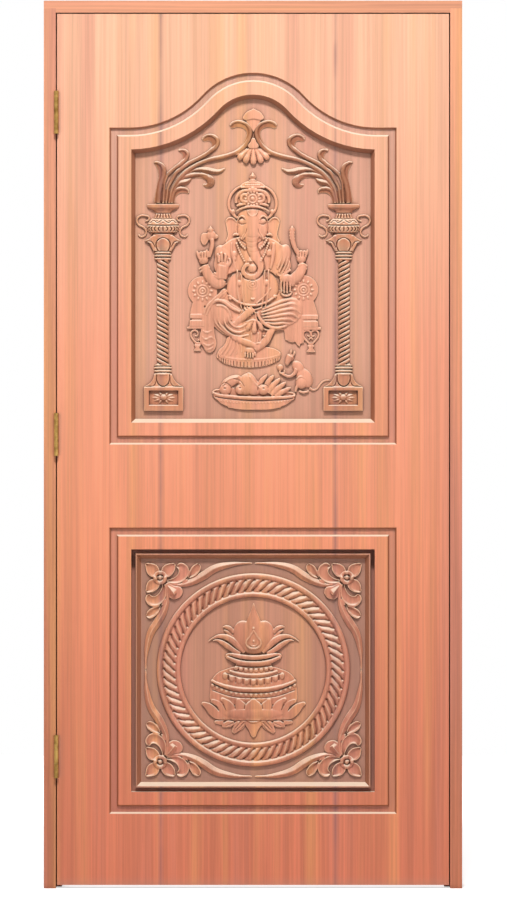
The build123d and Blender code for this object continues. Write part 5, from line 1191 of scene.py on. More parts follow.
# pot of plenty on its lotus
pot = {
    "voxel": 1.1, "middle": 253.6,
    "neckBeads": ([(236, 668.6), (244, 670.4), (253.6, 671), (263.2, 670.4),
        (271.2, 668.6)], 8, 2.2, 4.6, 3.6),
    "drops": [(225.1, 676.4), (231.8, 679), (239.4, 681.2), (246.6, 682.4), (253.6, 682.7)],
    "drop": (2.7, 3.4, 6.6, 0.06, 4.4),
    "beadLine": [(212.6, 686), (224, 691.4), (238, 694.4), (253.6, 695.4)], "beads": 18,
    "bead": (1.9, 1.9, 6.6, 0.09, 3.4),
    "plates": [
        (2.8, 1, True, [(211.6, 681), (216.6, 674), (226.4, 669.4), (236, 666.8), (253.6, 666),
            (271.2, 666.8), (280.8, 669.4), (290.6, 674), (295.6, 681), (297, 690), (296, 702), (253.6, 712),
            (211.2, 702), (210.2, 690)]),
        (4.6, 0.8, False, [(236.4, 663), (270.8, 663), (272.4, 669), (234.8, 669)]),
    ],
    "mounds": [
        (253.6, 640, 15.4, 15.4, 0.5, 8.8, 0), (244, 635.6, 11.2, 15, 0.5, 7, 8),
        (263.2, 635.6, 11.2, 15, 0.5, 7, -8),
        (253.6, 686, 43.6, 19, 0, 7.4, 0), (253.6, 628.6, 1.4, 1.4, 8.2, 2.6, 0),
        (253.7, 641.4, 1.3, 1.3, 9.2, 2.2, 0), (253.6, 714, 32, 7.2, 1.6, 8.6, 0),
    ],
    "lines": [
        (9, [(253.6, 630.6, 0.7), (250, 636.8, 0.9), (246.2, 643, 1), (248.4, 647.4, 1), (253.6, 649, 1),
            (258.8, 647.4, 1), (261, 643, 1), (257.2, 636.8, 0.9), (253.6, 630.6, 0.7)]),
        (9, [(250.2, 644, 0.5), (251.6, 646, 0.8), (253.6, 646.6, 0.8), (255.6, 646, 0.8), (257, 644, 0.5)]),
    ],
    "flame": [(0, [(253.6, 603.4, 0.5), (253.6, 611, 2.9), (253.6, 618.4, 6.4), (253.6, 625.6, 8.6),
        (253.6, 634, 9)])],
    "half": [
        (2.2, [(233.6, 633, 1.8), (229.4, 628.6, 2.5), (225.8, 627.2, 1.9), (222.4, 627.4, 0.6)]),
        (1.8, [(232.4, 637.2, 1.4), (228, 633, 1.7), (223.8, 630.2, 0.8)]),
        (3, [(244.2, 653, 1.6), (238.4, 646.8, 3), (232, 640.8, 3.6), (225.6, 637.4, 3.1),
            (219.4, 636.6, 2.2), (213.6, 638.2, 1.2), (208, 641.6, 0.5)]),
        (2.6, [(240.2, 654, 1.6), (233.6, 650.8, 2.6), (227, 646.2, 2.9), (221.2, 642.4, 2.3),
            (217, 640.6, 1.2), (212.8, 641, 0.6)]),
    ],
    "collars": [
        (3.6, [(230, 654.6, 1.6), (241, 657, 2.5, 1.6), (253.6, 658, 2.7, 2.2), (266.2, 657, 2.5, 1.6),
            (277.2, 654.6, 1.6)]),
        (3.6, [(226.6, 657.4, 1.6), (239, 662.4, 2.5, 1.6), (253.6, 663.8, 2.7, 2.2),
            (268.2, 662.4, 2.5, 1.6), (280.6, 657.4, 1.6)]),
        (2.6, [(230, 654.6, 1.3), (226.8, 655.6, 1.4), (226.6, 657.6, 1.3)]),
        (2.6, [(277.2, 654.6, 1.3), (280.4, 655.6, 1.4), (280.6, 657.6, 1.3)]),
        (6.4, [(229.6, 671.4, 1, -1), (240, 674.4, 1.2), (253.6, 675.6, 1.3, 0.8), (267.2, 674.4, 1.2),
            (277.6, 671.4, 1, -1)]),
        (5.2, [(211, 680.6, 1.2), (217, 683.8, 1.5, 1.2), (232, 688.2, 1.7, 2.8), (253.6, 690.2, 1.8, 3.4),
            (275.2, 688.2, 1.7, 2.8), (290.2, 683.8, 1.5, 1.2), (296.2, 680.6, 1.2)]),
    ],
    "petals": [
        (8.6, 4, True, [(253.4, 698.6), (257.6, 701.4), (261.4, 705), (263, 711), (262.4, 719.8),
            (244.8, 719.8), (244.2, 711), (245.6, 705), (249.4, 701.4)]),
        (7, 3.4, True, [(237.6, 698.8), (242, 701.2), (246.6, 706), (249.6, 719.8), (237.6, 719.8),
            (235.6, 711), (235.2, 704.4)]),
        (5.8, 3, True, [(220.6, 699), (227.4, 700), (233.2, 704.6), (236.8, 711), (240.6, 719.8),
            (230.6, 719.8), (226, 712), (223.8, 704.6)]),
        (4.6, 2.4, True, [(210.6, 700.6), (217, 700.6), (222.4, 704.6), (227.4, 711.6), (231.4, 719.8),
            (223.4, 719.6), (217.4, 707.6)]),
        (5, 2.6, True, [(201.4, 703.4), (207.6, 703), (214.4, 706.8), (220.4, 713.4), (226, 719.6),
            (216.6, 719.8), (209, 714.6), (204.4, 708)]),
        (4.8, 2.4, True, [(253.5, 738), (248.6, 730.6), (245.2, 724.4), (245.8, 721.6), (253.5, 721),
            (261.2, 721.6), (261.8, 724.4), (258.4, 730.6)]),
        (4.2, 2.2, True, [(232.6, 733.4), (233.4, 726.6), (237, 721.6), (245.4, 722), (243.4, 728.6),
            (239, 731.6)]),
        (3.8, 2, True, [(221.8, 726.8), (224.4, 722.8), (229.4, 721.2), (233.8, 721.8), (232.6, 726.4),
            (227.6, 728)]),
        (3.4, 1, True, [(214.2, 722.6), (217.4, 720.4), (222.4, 720.6), (223, 724), (217.4, 724.6)]),
    ],
    "veins": [
        (2, [(244.4, 709.6, 0.5), (245, 705.8, 1), (246.6, 703.6, 0.8)]),
        (1.8, [(235.4, 709, 0.5), (234.6, 705.4, 1)]),
        (1.6, [(225.6, 710, 0.5), (223, 705.4, 1)]), (1.6, [(218.6, 711, 0.6), (215.6, 706.8, 1)]),
        (1.6, [(244, 723, 0.8), (237, 730, 0.8)]), (1.6, [(240.8, 722, 0.8), (235, 728.6, 0.8)]),
        (1.6, [(245, 725.4, 0.8), (240, 731, 0.8)]), (1.6, [(233, 723.4, 0.7), (226, 726.4, 0.7)]),
        (2.4, [(229.4, 656.6, 0.9), (241, 659.8, 1.1), (253.6, 661, 1.2), (266.2, 659.8, 1.1),
            (277.8, 656.6, 0.9)]),
        (2.6, [(236, 666.2, 0.9), (253.6, 667.6, 1.1), (271.2, 666.2, 0.9)]),
        (2.4, [(226, 673.6, 0.9), (240, 677.4, 1), (253.6, 678.6, 1), (267.2, 677.4, 1),
            (281.2, 673.6, 0.9)]),
        (2.8, [(214, 685, 0.9), (232, 691.6, 1.1), (253.6, 693.4, 1.1), (275.2, 691.6, 1.1),
            (293.2, 685, 0.9)]),
        (2.6, [(212.6, 690.6, 0.9), (232, 697, 1.2), (253.6, 698.4, 1.2), (274.6, 697, 1.2),
            (294.6, 690.6, 0.9)]),
        (2.6, [(228.4, 675.4, 0.7), (228.2, 680.4, 0.9)]), (2.6, [(235.6, 677.8, 0.7), (235.6, 682.8, 0.9)]),
        (2.6, [(243, 679.4, 0.7), (243, 684.6, 0.9)]), (2.6, [(250.2, 680, 0.7), (250.2, 685.6, 0.9)]),
        (3, [(253.6, 721.4, 1.2), (245.6, 721, 1.2), (238, 721, 1.2), (228, 720.6, 1.2), (216, 720.4, 1)]),
    ],
}


def makePot():
    mid = pot["middle"]
    flip = flipped(pot["half"], mid)
    petals = pot["petals"] + [row for row in flipped(pot["petals"], mid) if abs(row[3][0][0] - mid) > 1]
    pieces = [plates(pot["plates"] + petals), mounds(pot["mounds"], segments=28, rings=14)]
    pieces.append(strokes(pot["half"] + flip, flat=0.75))
    pieces.append(strokes(pot["flame"], flat=0.42, sides=4))
    pieces.append(strokes(pot["lines"] + pot["collars"]))
    drops = pot["drops"] + [(2 * mid - px, py) for px, py in pot["drops"][:-1]]
    edge = pot["beadLine"] + [(2 * mid - px, py) for px, py in pot["beadLine"][-2::-1]]
    beads = [spotAt(edge, i / (pot["beads"] - 1)) for i in range(pot["beads"])]
    small = beadRow(*pot["neckBeads"])
    for spots, (halfW, halfH, lift, fall, height) in ((drops, pot["drop"]), (beads, pot["bead"])):
        for px, py in spots:  # lower towards the sides of the belly
            small.append((px, py, halfW, halfH, lift - abs(px - mid) * fall, height, 0))
    pieces.append(mounds(small, segments=12, rings=8))
    return carve(pieces, "potOnLotus", pot["voxel"], lowerField, pot["veins"] + flipped(pot["veins"], mid))


# corner spray, drawn at the top left
spray = {
    "voxel": 1.15, "px": 160, "py": 577.9, "across": 253.5, "turn": 670.2, "body": (4.4, 0.6),
    "ridge": (2.4, 0.4), "rimLift": 3.9, "scoop": 3.4,
    "leafRim": (0.8, 0.7), "petalRim": (0.7, 0.7), "sweepLift": 2.2, "ringLift": 4.2, "ring": (5.1, 1.9),
    "knobs": [(2.3, 2.3, 2, 6.4, 0), (6, 6, 0, 3, 0)], "dished": (9, 0.86, 0, 0.94),
    "petals": [
        ([(158.8, 573.4), (158.4, 569.4), (156.2, 566), (152, 564.2), (145.6, 563.9)],
            [(155, 577.6), (151.4, 576.4), (148, 573.8), (146.2, 569.4), (145.6, 563.9)]),
        ([(161.4, 573.4), (162, 569.4), (164.6, 566), (169, 564.2), (174.6, 563.9)],
            [(165, 577.6), (169, 576.4), (172.6, 573.2), (174.4, 569.4), (174.6, 563.9)]),
        ([(155.6, 579.6), (151.4, 580.2), (148.2, 582.4), (146.4, 586.4), (146, 592.2)],
            [(159.6, 582.8), (158.8, 585.8), (156.4, 589.4), (152.2, 591.8), (146, 592.2)]),
    ],
    "leaves": [
        ([(166.6, 582), (172.6, 582.8), (179.8, 582.2), (185, 578.8), (188.1, 573.2), (187.6, 568.2),
            (184.6, 564.9), (180.8, 563.6), (178, 564.8), (176.4, 567)],
            [(166.6, 580.8), (171.6, 579.4), (176.8, 576.2), (179, 572.2), (178.6, 569.2), (176.4, 567.4)]),
        ([(187.9, 578.7), (190, 571.6), (193.8, 565.9), (198.2, 563.8)], [(187.9, 578.7), (194.6, 575.7),
            (198.8, 571.5), (200.4, 567), (198.2, 563.8)]),
    ],
    "sweep": [(167.6, 583.6, 0.7), (180, 585.2, 1.9), (191, 582.4, 3.4), (203, 576.2, 4.2),
        (214.7, 568.8, 3.9), (229, 564.9, 2.8), (241.5, 563.5, 1.3), (252.2, 563.4, 0.4)],
    "cup": [(5.4, 2.2, True, [(165.8, 583.8), (174.2, 586.4), (180.4, 587.6), (182.6, 590.6), (181.4, 596),
        (176.4, 599.4), (170.4, 598.6), (168, 593.6)])],
    "facet": [(2.6, [(166.2, 584.4, 0.6), (169.4, 588, 2.6, 1), (173.2, 592.6, 5, 1.4),
        (174.6, 594.4, 4.2, 0.6)])],
}


def acrossDiagonal(points):
    # the spray is the same on both sides of the diagonal through its flower
    px, py = spray["px"], spray["py"]
    return [(px + (p[1] - py), py + (p[0] - px)) + tuple(p[2:]) for p in points]


def makeSpray(name):
    px, py = spray["px"], spray["py"]
    leaves = spray["leaves"] + [(acrossDiagonal(outer), acrossDiagonal(inner)) for outer,
        inner in spray["leaves"]]
    sweeps = [spray["sweep"], acrossDiagonal(spray["sweep"])]
    bodies = [(*spray["body"], True, leafOutline(outer, inner)) for outer, inner in leaves + spray["petals"]]
    bodies += spray["cup"] + [(*spray["ridge"], True, ribbon(line)) for line in sweeps]
    rims = rimLines(leaves, spray["rimLift"], *spray["leafRim"])
    rims += rimLines(spray["petals"], spray["rimLift"], *spray["petalRim"])
    pieces = [plates(bodies), strokes(rims)]
    pieces.append(strokes([(spray["sweepLift"], line) for line in sweeps], flat=0.75, sides=0))
    pieces.append(strokes(spray["facet"], flat=1.05, sides=0))
    pieces.append(strokes([(spray["ringLift"], loopStroke(px, py, *spray["ring"]))], flat=0.9))
    pieces.append(mounds([(px, py, *knob) for knob in spray["knobs"]]))
    scoops = [(spray["scoop"], midLine(outer, inner, *spray["dished"])) for outer,
        inner in spray["petals"] + leaves]
    return carve(pieces, name, spray["voxel"], lowerField, scoops=scoops)


# countersunk hinge screws, each built in turn from the same recipe
screws = {"radius": 3.6, "proud": 0.3, "depth": 2.0, "edge": (0.5, 0.2), "ring": 1.2, "socket": (0.3, -0.9),
          "rows": [(-38, -42), (-14, -28), (14, -42), (38, -28)]}


def makeScrews(node, faceX, outward, name):
    low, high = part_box(node)
    pieces = []
    for up, back in screws["rows"]:
        deselectAll()
        depth = screws["depth"] * mm
        bpy.ops.mesh.primitive_cylinder_add(vertices=20, radius=screws["radius"] * mm, depth=depth,
            end_fill_type="NGON", location=(0, 0, screws["proud"] * mm - depth / 2))
        obj = bpy.context.object
        applyAll(obj)
        for face in obj.data.polygons:
            face.select = face.normal.z > 0.9
        bpy.ops.object.mode_set(mode="EDIT")
        bpy.ops.mesh.select_mode(type="FACE")
        for inward, rise in (screws["edge"], (screws["ring"], 0), screws["socket"]):
            bpy.ops.mesh.inset(thickness=inward * mm, depth=rise * mm)
        bpy.ops.object.mode_set(mode="OBJECT")
        obj.rotation_euler = (0, math.radians(90 * outward), 0)
        obj.location = (faceX, back * mm, (low[2] + high[2]) / 2 + up * mm)
        applyAll(obj)
        pieces.append(obj)
    return joinPieces(pieces, name)


archField = makeArchBoard()
trayField = makeSquareTray()
print("panel fields made")
upperRelief = [makePillar("leftPillar"), makeFoliage("leftFoliage")]
upperRelief.append(mirrorAcross(upperRelief[0], "rightPillar", crest["middle"]))
upperRelief.append(mirrorAcross(upperRelief[1], "rightFoliage", crest["middle"]))
upperRelief += [makeCrest(), makeFigure(), makeTray()]
print("upper relief made")
lowerRelief = [makeWreath(), makePot(), makeSpray("sprayTopLeft")]
lowerRelief.append(mirrorAcross(lowerRelief[2], "sprayTopRight", spray["across"]))
lowerRelief.append(mirrorDown(lowerRelief[2], "sprayFootLeft", spray["turn"]))
lowerRelief.append(mirrorAcross(lowerRelief[4], "sprayFootRight", spray["across"]))
print("lower relief made")


# finishes
def linear(colour):
    out = []
    for value in colour:
        value /= 255
        out.append(value / 12.92 if value <= 0.04045 else ((value + 0.055) / 1.055) ** 2.4)
    return out + [1.0]


# colours from the foot of the leaf up, darker towards the foot: the wood's tone with a painted light falloff
# from the top, then how much of each mark a wood shows
plainWood = {"streak": 0.15, "pore": 0.12, "cavityShadeAmount": 0.4, "reach": 0.010, "edge": 0.0, "creaseShade": 0.0,
    "seam": 0.0, "wideShade": (196, 150, 134), "wideShadeAmount": 0.0, "wideShadeReach": 0.03, "lit": 0.0, "wallShade": 0.0,
    "sunk": 0.0, "bump": 0.12}
leafWood = dict(plainWood, colours=[(226, 132, 100), (250, 158, 120), (255, 170, 136), (254, 192, 157)],
    streak=0.14, pore=0.10, cavityShade=(120, 66, 44), cavityShadeAmount=0.5, seam=0.42, wideShadeAmount=0.55,
    wideShadeReach=0.035, rough=0.46, lit=0.8, wallShade=0.75, sunk=0.65, bump=0.10)
# the grounds and carvings are darker than the leaf face: the wood's tone and painted shade of the recesses
upperGround = dict(plainWood, colours=[(172, 124, 104), (172, 124, 104), (232, 172, 144), (228, 170, 144)],
    streak=0.13, pore=0.08, cavityShade=(96, 52, 34), cavityShadeAmount=0.6, seam=0.4, wideShade=(172, 130, 112),
    wideShadeAmount=0.8, wideShadeReach=0.09, rough=0.52, lit=0.6, wallShade=0.3, bump=0.08)
lowerGround = dict(upperGround, colours=[(206, 144, 118), (208, 148, 122), (208, 148, 122), (208, 148, 122)],
    streak=0.14, cavityShadeAmount=0.75, wideShade=(164, 120, 102), wideShadeAmount=0.75, wideShadeReach=0.06, lit=0.8, wallShade=0.7,
    far=0.6, moat=0.85)
upperCarving = dict(plainWood, colours=[(222, 148, 118), (222, 148, 118), (240, 168, 136), (246, 174, 140)],
    streak=0.16, pore=0.06, cavityShade=(70, 30, 14), cavityShadeAmount=1.0, edge=0.6, creaseShade=0.75, seam=0.34,
    wideShade=(176, 124, 102), wideShadeAmount=0.5, rough=0.40, lit=0.5, bump=0.05)
lowerCarving = dict(upperCarving, colours=[(214, 140, 110), (219, 146, 116), (219, 146, 116),
    (219, 146, 116)], streak=0.18, edge=0.65, wideShade=(160, 108, 88), lit=0.75)
scrollCarving = dict(upperCarving, colours=[(215, 142, 107), (215, 142, 107), (219, 146, 110),
    (219, 146, 110)], cavityShade=(56, 22, 8), reach=0.014, edge=0.7, creaseShade=0.9, wideShade=(150, 100, 78),
    wideShadeAmount=0.6, rough=0.36, lit=0.75)
# a darker copy of the scroll carving: painted shade for the deep foliage
leafageCarving = dict(scrollCarving, colours=[(172, 108, 76), (172, 108, 76), (176, 111, 78), (176, 111, 78)],
    wideShadeAmount=0.8)
jambWood = dict(plainWood, colours=[(206, 126, 94), (222, 142, 108), (236, 158, 122), (240, 166, 130)],
    streak=0.2, cavityShade=(92, 46, 26), reach=0.02, rough=0.5)
headWood = dict(jambWood, across=True)  # its grain lies level
bareWood = dict(plainWood, colours=[(204, 168, 134), (204, 168, 134), (210, 174, 140), (210, 174, 140)],
                cavityShade=(120, 84, 56), reach=0.02, rough=0.7)
seams = {"left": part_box("left_board")[1][0], "right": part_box("right_board")[0][0], "half": 1.5 * mm,
    "soft": 10.0 * mm, "core": (0.5 * mm, 2.6 * mm), "tint": (150, 108, 112), "line": (96, 72, 88)}
# lit is a painted highlight; wall, sunk and moat are painted shade; worn is a painted edge highlight with
# some wear; warm and rosy are grain tones; grey tints the square panel's corners
marks = {"lit": (255, 232, 206), "wallShade": (150, 86, 50), "sunk": (206, 214, 236), "warm": (255, 186, 116),
    "rosy": (216, 138, 122), "grey": (166, 128, 112), "moat": (122, 82, 58), "worn": (255, 216, 178)}
grain = {"broad": ((26, 26, 0.5), 3, (0, 0, 0)), "fine": ((190, 190, 2.2), 4, (3, 1, 0)),
    "hue": ((17, 17, 0.6), 3, (7, 2, 5)), "pores": ((900, 900, 14), 2, (1, 5, 2)),
    "patches": ((3, 3, 5.5), 3, (2, 9, 4))}  # scale, detail, shift
# metres from the square panel's middle: past the wreath (squared), up to the rim, the moat's two walls
moat = {"corner": (0.026, 0.062), "rim": (0.258, 0.266), "inner": (0.2735, 0.2755), "outer": (0.2835, 0.2855)}


def woodFinish(name, look):
    material = bpy.data.materials.new(name)
    material.use_nodes = True
    nodes, links = material.node_tree.nodes, material.node_tree.links
    shader = nodes["Principled BSDF"]
    shader.inputs["Specular IOR Level"].default_value = 0.3

    def add(kind, **settings):
        node = nodes.new(kind)
        for key, value in settings.items():
            setattr(node, key, value)
        return node

    def noise(kind):
        scale, detail, shift = grain[kind]
        mapping = add("ShaderNodeMapping")
        mapping.inputs["Scale"].default_value = scale[::-1] if "across" in look else scale
        mapping.inputs["Location"].default_value = shift
        links.new(coords.outputs["Object"], mapping.inputs["Vector"])
        texture = add("ShaderNodeTexNoise")
        texture.inputs["Scale"].default_value = 1.0
        texture.inputs["Detail"].default_value = detail
        links.new(mapping.outputs["Vector"], texture.inputs["Vector"])
        return texture.outputs["Fac"]

    def spread(value, low, high, toLow, toHigh):
        node = add("ShaderNodeMapRange", interpolation_type="SMOOTHSTEP")
        for key, number in (("From Min", low), ("From Max", high), ("To Min", toLow), ("To Max", toHigh)):
            node.inputs[key].default_value = number
        links.new(value, node.inputs["Value"])
        return node.outputs["Result"]

    def feed(sockets, values):
        for socket, value in zip(sockets, values):
            if isinstance(value, bpy.types.NodeSocket):
                links.new(value, socket)
            else:
                socket.default_value = value

    def blendColour(kind, amount, first, second):
        node = add("ShaderNodeMix", data_type="RGBA", blend_type=kind)
        feed((node.inputs[0], node.inputs[6], node.inputs[7]), (amount, first, second))
        return node.outputs[2]

    def math2(kind, first, second=0.0):
        node = add("ShaderNodeMath", operation=kind)
        feed(node.inputs, (first, second))
        return node.outputs[0]

    coords = add("ShaderNodeTexCoord")
    axes = add("ShaderNodeSeparateXYZ")
    links.new(coords.outputs["Object"], axes.inputs[0])
    # painted light falloff: the ramp darkens the wood towards the foot of the leaf, over the wood's own tone
    ramp = add("ShaderNodeValToRGB")
    links.new(spread(axes.outputs["Z"], leafLow[2], leafHigh[2], 0, 1), ramp.inputs["Fac"])
    stops = ramp.color_ramp.elements
    for spot, colour in zip((0.0, 0.34, 0.67, 1.0), look["colours"]):
        stop = stops[0] if spot == 0 else stops[-1] if spot == 1 else stops.new(spot)
        stop.position = spot
        stop.color = linear(colour)
    broad, fine, hue, pores = [noise(kind) for kind in ("broad", "fine", "hue", "pores")]
    streak = look["streak"]
    colour = blendColour("MIX", spread(hue, 0.5, 0.7, 0, streak * 2.4), ramp.outputs["Color"],
        linear(marks["warm"]))
    colour = blendColour("MIX", spread(hue, 0.5, 0.3, 0, streak * 2.4), colour, linear(marks["rosy"]))
    tone = spread(broad, 0.32, 0.68, 1 - streak * 0.7, 1 + streak * 0.45)
    fibres = spread(fine, 0.3, 0.7, 1 - streak * 0.6, 1 + streak * 0.45)
    both = math2("MULTIPLY", tone, fibres)
    both = math2("MULTIPLY", both, spread(pores, 0.6, 0.78, 1, 1 - look["pore"]))
    shade = add("ShaderNodeCombineColor")
    for socket in ("Red", "Green", "Blue"):
        links.new(both, shade.inputs[socket])
    colour = blendColour("MULTIPLY", 1.0, colour, shade.outputs["Color"])
    if look["seam"]:
        patches = spread(noise("patches"), 0.36, 0.62, 0.45, 1)
        for side in ("left", "right"):
            away = math2("ABSOLUTE", math2("SUBTRACT", axes.outputs["X"], seams[side]))
            mark = math2("MULTIPLY", spread(away, seams["half"], seams["soft"], look["seam"], 0), patches)
            colour = blendColour("MIX", mark, colour, linear(seams["tint"]))
            core = math2("MULTIPLY", spread(away, *seams["core"], look["seam"] * 0.6, 0), patches)
            colour = blendColour("MIX", core, colour, linear(seams["line"]))
    # painted shade: a brown moat between the square panel's rim and the recess wall; past the wreath the
    # ground also turns greyer towards the corners
    if "moat" in look:  # round the square panel
        middleX = (wreath["px"] - photo["middle"]) * perPx
        middleZ = leafLow[2] + (photo["foot"] - wreath["py"]) * perPx
        aside = math2("ABSOLUTE", math2("SUBTRACT", axes.outputs["X"], middleX))
        above = math2("ABSOLUTE", math2("SUBTRACT", axes.outputs["Z"], middleZ))
        square = math2("MAXIMUM", aside, above)
        away2 = math2("ADD", math2("POWER", aside, 2.0), math2("POWER", above, 2.0))
        corner = math2("MULTIPLY", spread(away2, *moat["corner"], 0, look["far"]),
            spread(square, *moat["rim"], 1, 0))
        colour = blendColour("MIX", corner, colour, linear(marks["grey"]))
        gullyShade = math2("MULTIPLY", spread(square, *moat["inner"], 0, look["moat"]),
            spread(square, *moat["outer"], 1, 0))
        colour = blendColour("MIX", gullyShade, colour, linear(marks["moat"]))
    if look["sunk"]:
        # painted shade: groove floors and recesses below the leaf face turn greyer with depth
        depth = math2("SUBTRACT", axes.outputs["Y"], leafFront)
        sunk = spread(depth, 1.0 * mm, 5.0 * mm, 0, look["sunk"])
        colour = blendColour("MULTIPLY", sunk, colour, linear(marks["sunk"]))
    # painted shade: a wide ambient-occlusion reach turns recesses and the ground near walls and relief greyer
    if look["wideShadeAmount"]:
        sheltered = add("ShaderNodeAmbientOcclusion", samples=8, only_local=False)
        sheltered.inputs["Distance"].default_value = look["wideShadeReach"]
        wideShadeMask = spread(sheltered.outputs["AO"], 0.45, 1.0, look["wideShadeAmount"], 0)
        colour = blendColour("MIX", wideShadeMask, colour, linear(look["wideShade"]))
    # painted shade: a short ambient-occlusion reach darkens creases, crevices and the outlines of the relief
    hollow = add("ShaderNodeAmbientOcclusion", samples=8, only_local=False)
    hollow.inputs["Distance"].default_value = look["reach"]
    deep = spread(hollow.outputs["AO"], 0.3, 0.92, look["cavityShadeAmount"], 0)
    colour = blendColour("MIX", deep, colour, linear(look["cavityShade"]))
    if look["edge"]:
        shape = add("ShaderNodeNewGeometry")
        # painted shade in concave creases, from pointiness
        creaseShadeMask = spread(shape.outputs["Pointiness"], 0.42, 0.495, look["creaseShade"], 0)
        colour = blendColour("MIX", creaseShadeMask, colour, linear(look["cavityShade"]))
        # painted highlight along convex edges, from pointiness, with some edge wear
        worn = spread(shape.outputs["Pointiness"], 0.505, 0.56, 0, look["edge"])
        colour = blendColour("MIX", worn, colour, linear(marks["worn"]))
    if look["wallShade"] or look["lit"]:
        sides = add("ShaderNodeSeparateXYZ")
        links.new(coords.outputs["Normal"], sides.inputs[0])
        inward = spread(math2("ABSOLUTE", axes.outputs["X"]), leafHigh[0] - 0.03, leafHigh[0] - 0.02, 1, 0)
        inward = math2("MULTIPLY", inward, spread(axes.outputs["Z"], leafHigh[2] - 0.03,
            leafHigh[2] - 0.02, 1, 0))
        inward = math2("MULTIPLY", inward, spread(axes.outputs["Z"], leafLow[2] + 0.02,
            leafLow[2] + 0.03, 0, 1))
        # painted shade: steep walls of grooves and bevels turn brown, away from the leaf's outer edges
        if look["wallShade"]:
            wallShadeMask = spread(math2("ABSOLUTE", sides.outputs["Y"]), 0.9, 0.5, 0, look["wallShade"])
            colour = blendColour("MIX", math2("MULTIPLY", wallShadeMask, inward), colour, linear(marks["wallShade"]))
        # painted highlight: upward-facing surfaces turn cream, as if lit from above
        upward = spread(sides.outputs["Z"], 0.25, 0.7, 0, look["lit"])
        colour = blendColour("MIX", math2("MULTIPLY", upward, inward), colour, linear(marks["lit"]))
    links.new(colour, shader.inputs["Base Color"])
    links.new(spread(fine, 0.3, 0.7, look["rough"] + 0.06, look["rough"] - 0.06), shader.inputs["Roughness"])
    bump = add("ShaderNodeBump")
    bump.inputs["Strength"].default_value = look["bump"]
    bump.inputs["Distance"].default_value = 0.001
    links.new(math2("ADD", fine, pores), bump.inputs["Height"])
    links.new(bump.outputs["Normal"], shader.inputs["Normal"])
    return material


hingeBrass = {"colour": (198, 160, 92), "dark": (140, 106, 54), "rough": 0.34}


def brassFinish(name):
    material = bpy.data.materials.new(name)
    material.use_nodes = True
    nodes, links = material.node_tree.nodes, material.node_tree.links
    shader = nodes["Principled BSDF"]
    shader.inputs["Metallic"].default_value = 1.0
    coords = nodes.new("ShaderNodeTexCoord")
    cloud = nodes.new("ShaderNodeTexNoise")
    cloud.inputs["Scale"].default_value = 60
    cloud.inputs["Detail"].default_value = 5
    links.new(coords.outputs["Object"], cloud.inputs["Vector"])
    ramp = nodes.new("ShaderNodeValToRGB")
    ramp.color_ramp.elements[0].position = 0.35
    ramp.color_ramp.elements[0].color = linear(hingeBrass["dark"])
    ramp.color_ramp.elements[1].position = 0.62
    ramp.color_ramp.elements[1].color = linear(hingeBrass["colour"])
    links.new(cloud.outputs["Fac"], ramp.inputs["Fac"])
    links.new(ramp.outputs["Color"], shader.inputs["Base Color"])
    worn = nodes.new("ShaderNodeMapRange")
    worn.inputs["To Min"].default_value = hingeBrass["rough"] + 0.12
    worn.inputs["To Max"].default_value = hingeBrass["rough"] - 0.08
    links.new(cloud.outputs["Fac"], worn.inputs["Value"])
    links.new(worn.outputs["Result"], shader.inputs["Roughness"])
    bump = nodes.new("ShaderNodeBump")
    bump.inputs["Strength"].default_value = 0.05
    bump.inputs["Distance"].default_value = 0.0005
    links.new(cloud.outputs["Fac"], bump.inputs["Height"])
    links.new(bump.outputs["Normal"], shader.inputs["Normal"])
    return material


finishes = {"leaf": woodFinish("leafWood", leafWood), "upperGround": woodFinish("upperGround", upperGround),
    "lowerGround": woodFinish("lowerGround", lowerGround),
    "upperCarving": woodFinish("upperCarving", upperCarving),
    "lowerCarving": woodFinish("lowerCarving", lowerCarving),
    "scroll": woodFinish("scrollCarving", scrollCarving),
    "leafage": woodFinish("leafageCarving", leafageCarving), "jamb": woodFinish("jambWood", jambWood),
    "head": woodFinish("headWood", headWood), "bare": woodFinish("bareWood", bareWood),
    "brass": brassFinish("hingeBrass")}


def dress(obj, finish):
    obj.data.materials.clear()
    obj.data.materials.append(finishes[finish])


for name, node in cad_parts.items():
    if "board" in name:
        dress(node, "leaf")
    elif "tongue" in name:
        dress(node, "bare")
    elif "hinge_" in name and ("plate" in name or "pin" in name):
        dress(node, "brass")
    elif "panel" not in name:
        dress(node, "head" if name.startswith("head") else "jamb")
dress(archField, "upperGround")
dress(trayField, "lowerGround")
for obj in upperRelief:
    if obj.name.startswith(("seated", "fruit", "shell")):
        dress(obj, "upperCarving")
    else:
        dress(obj, "leafage" if "oliage" in obj.name else "scroll")
for obj in lowerRelief:
    dress(obj, "lowerCarving")
for obj in [archField, trayField] + upperRelief + lowerRelief:
    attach(obj, "leaf")
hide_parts("upper_carved_panel")
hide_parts("lower_carved_panel")

leafEdge = leafLow[0]
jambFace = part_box("hinge_jamb")[1][0]
for place in ("top", "middle", "bottom"):
    onLeaf = makeScrews(place + "_hinge_leaf_plate", leafEdge, -1, place + "LeafScrews")
    onJamb = makeScrews(place + "_hinge_jamb_plate", jambFace, 1, place + "JambScrews")
    for obj, body in ((onLeaf, "leaf"), (onJamb, "frame")):
        dress(obj, "brass")
        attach(obj, body)
print("finishes and hinge screws on")

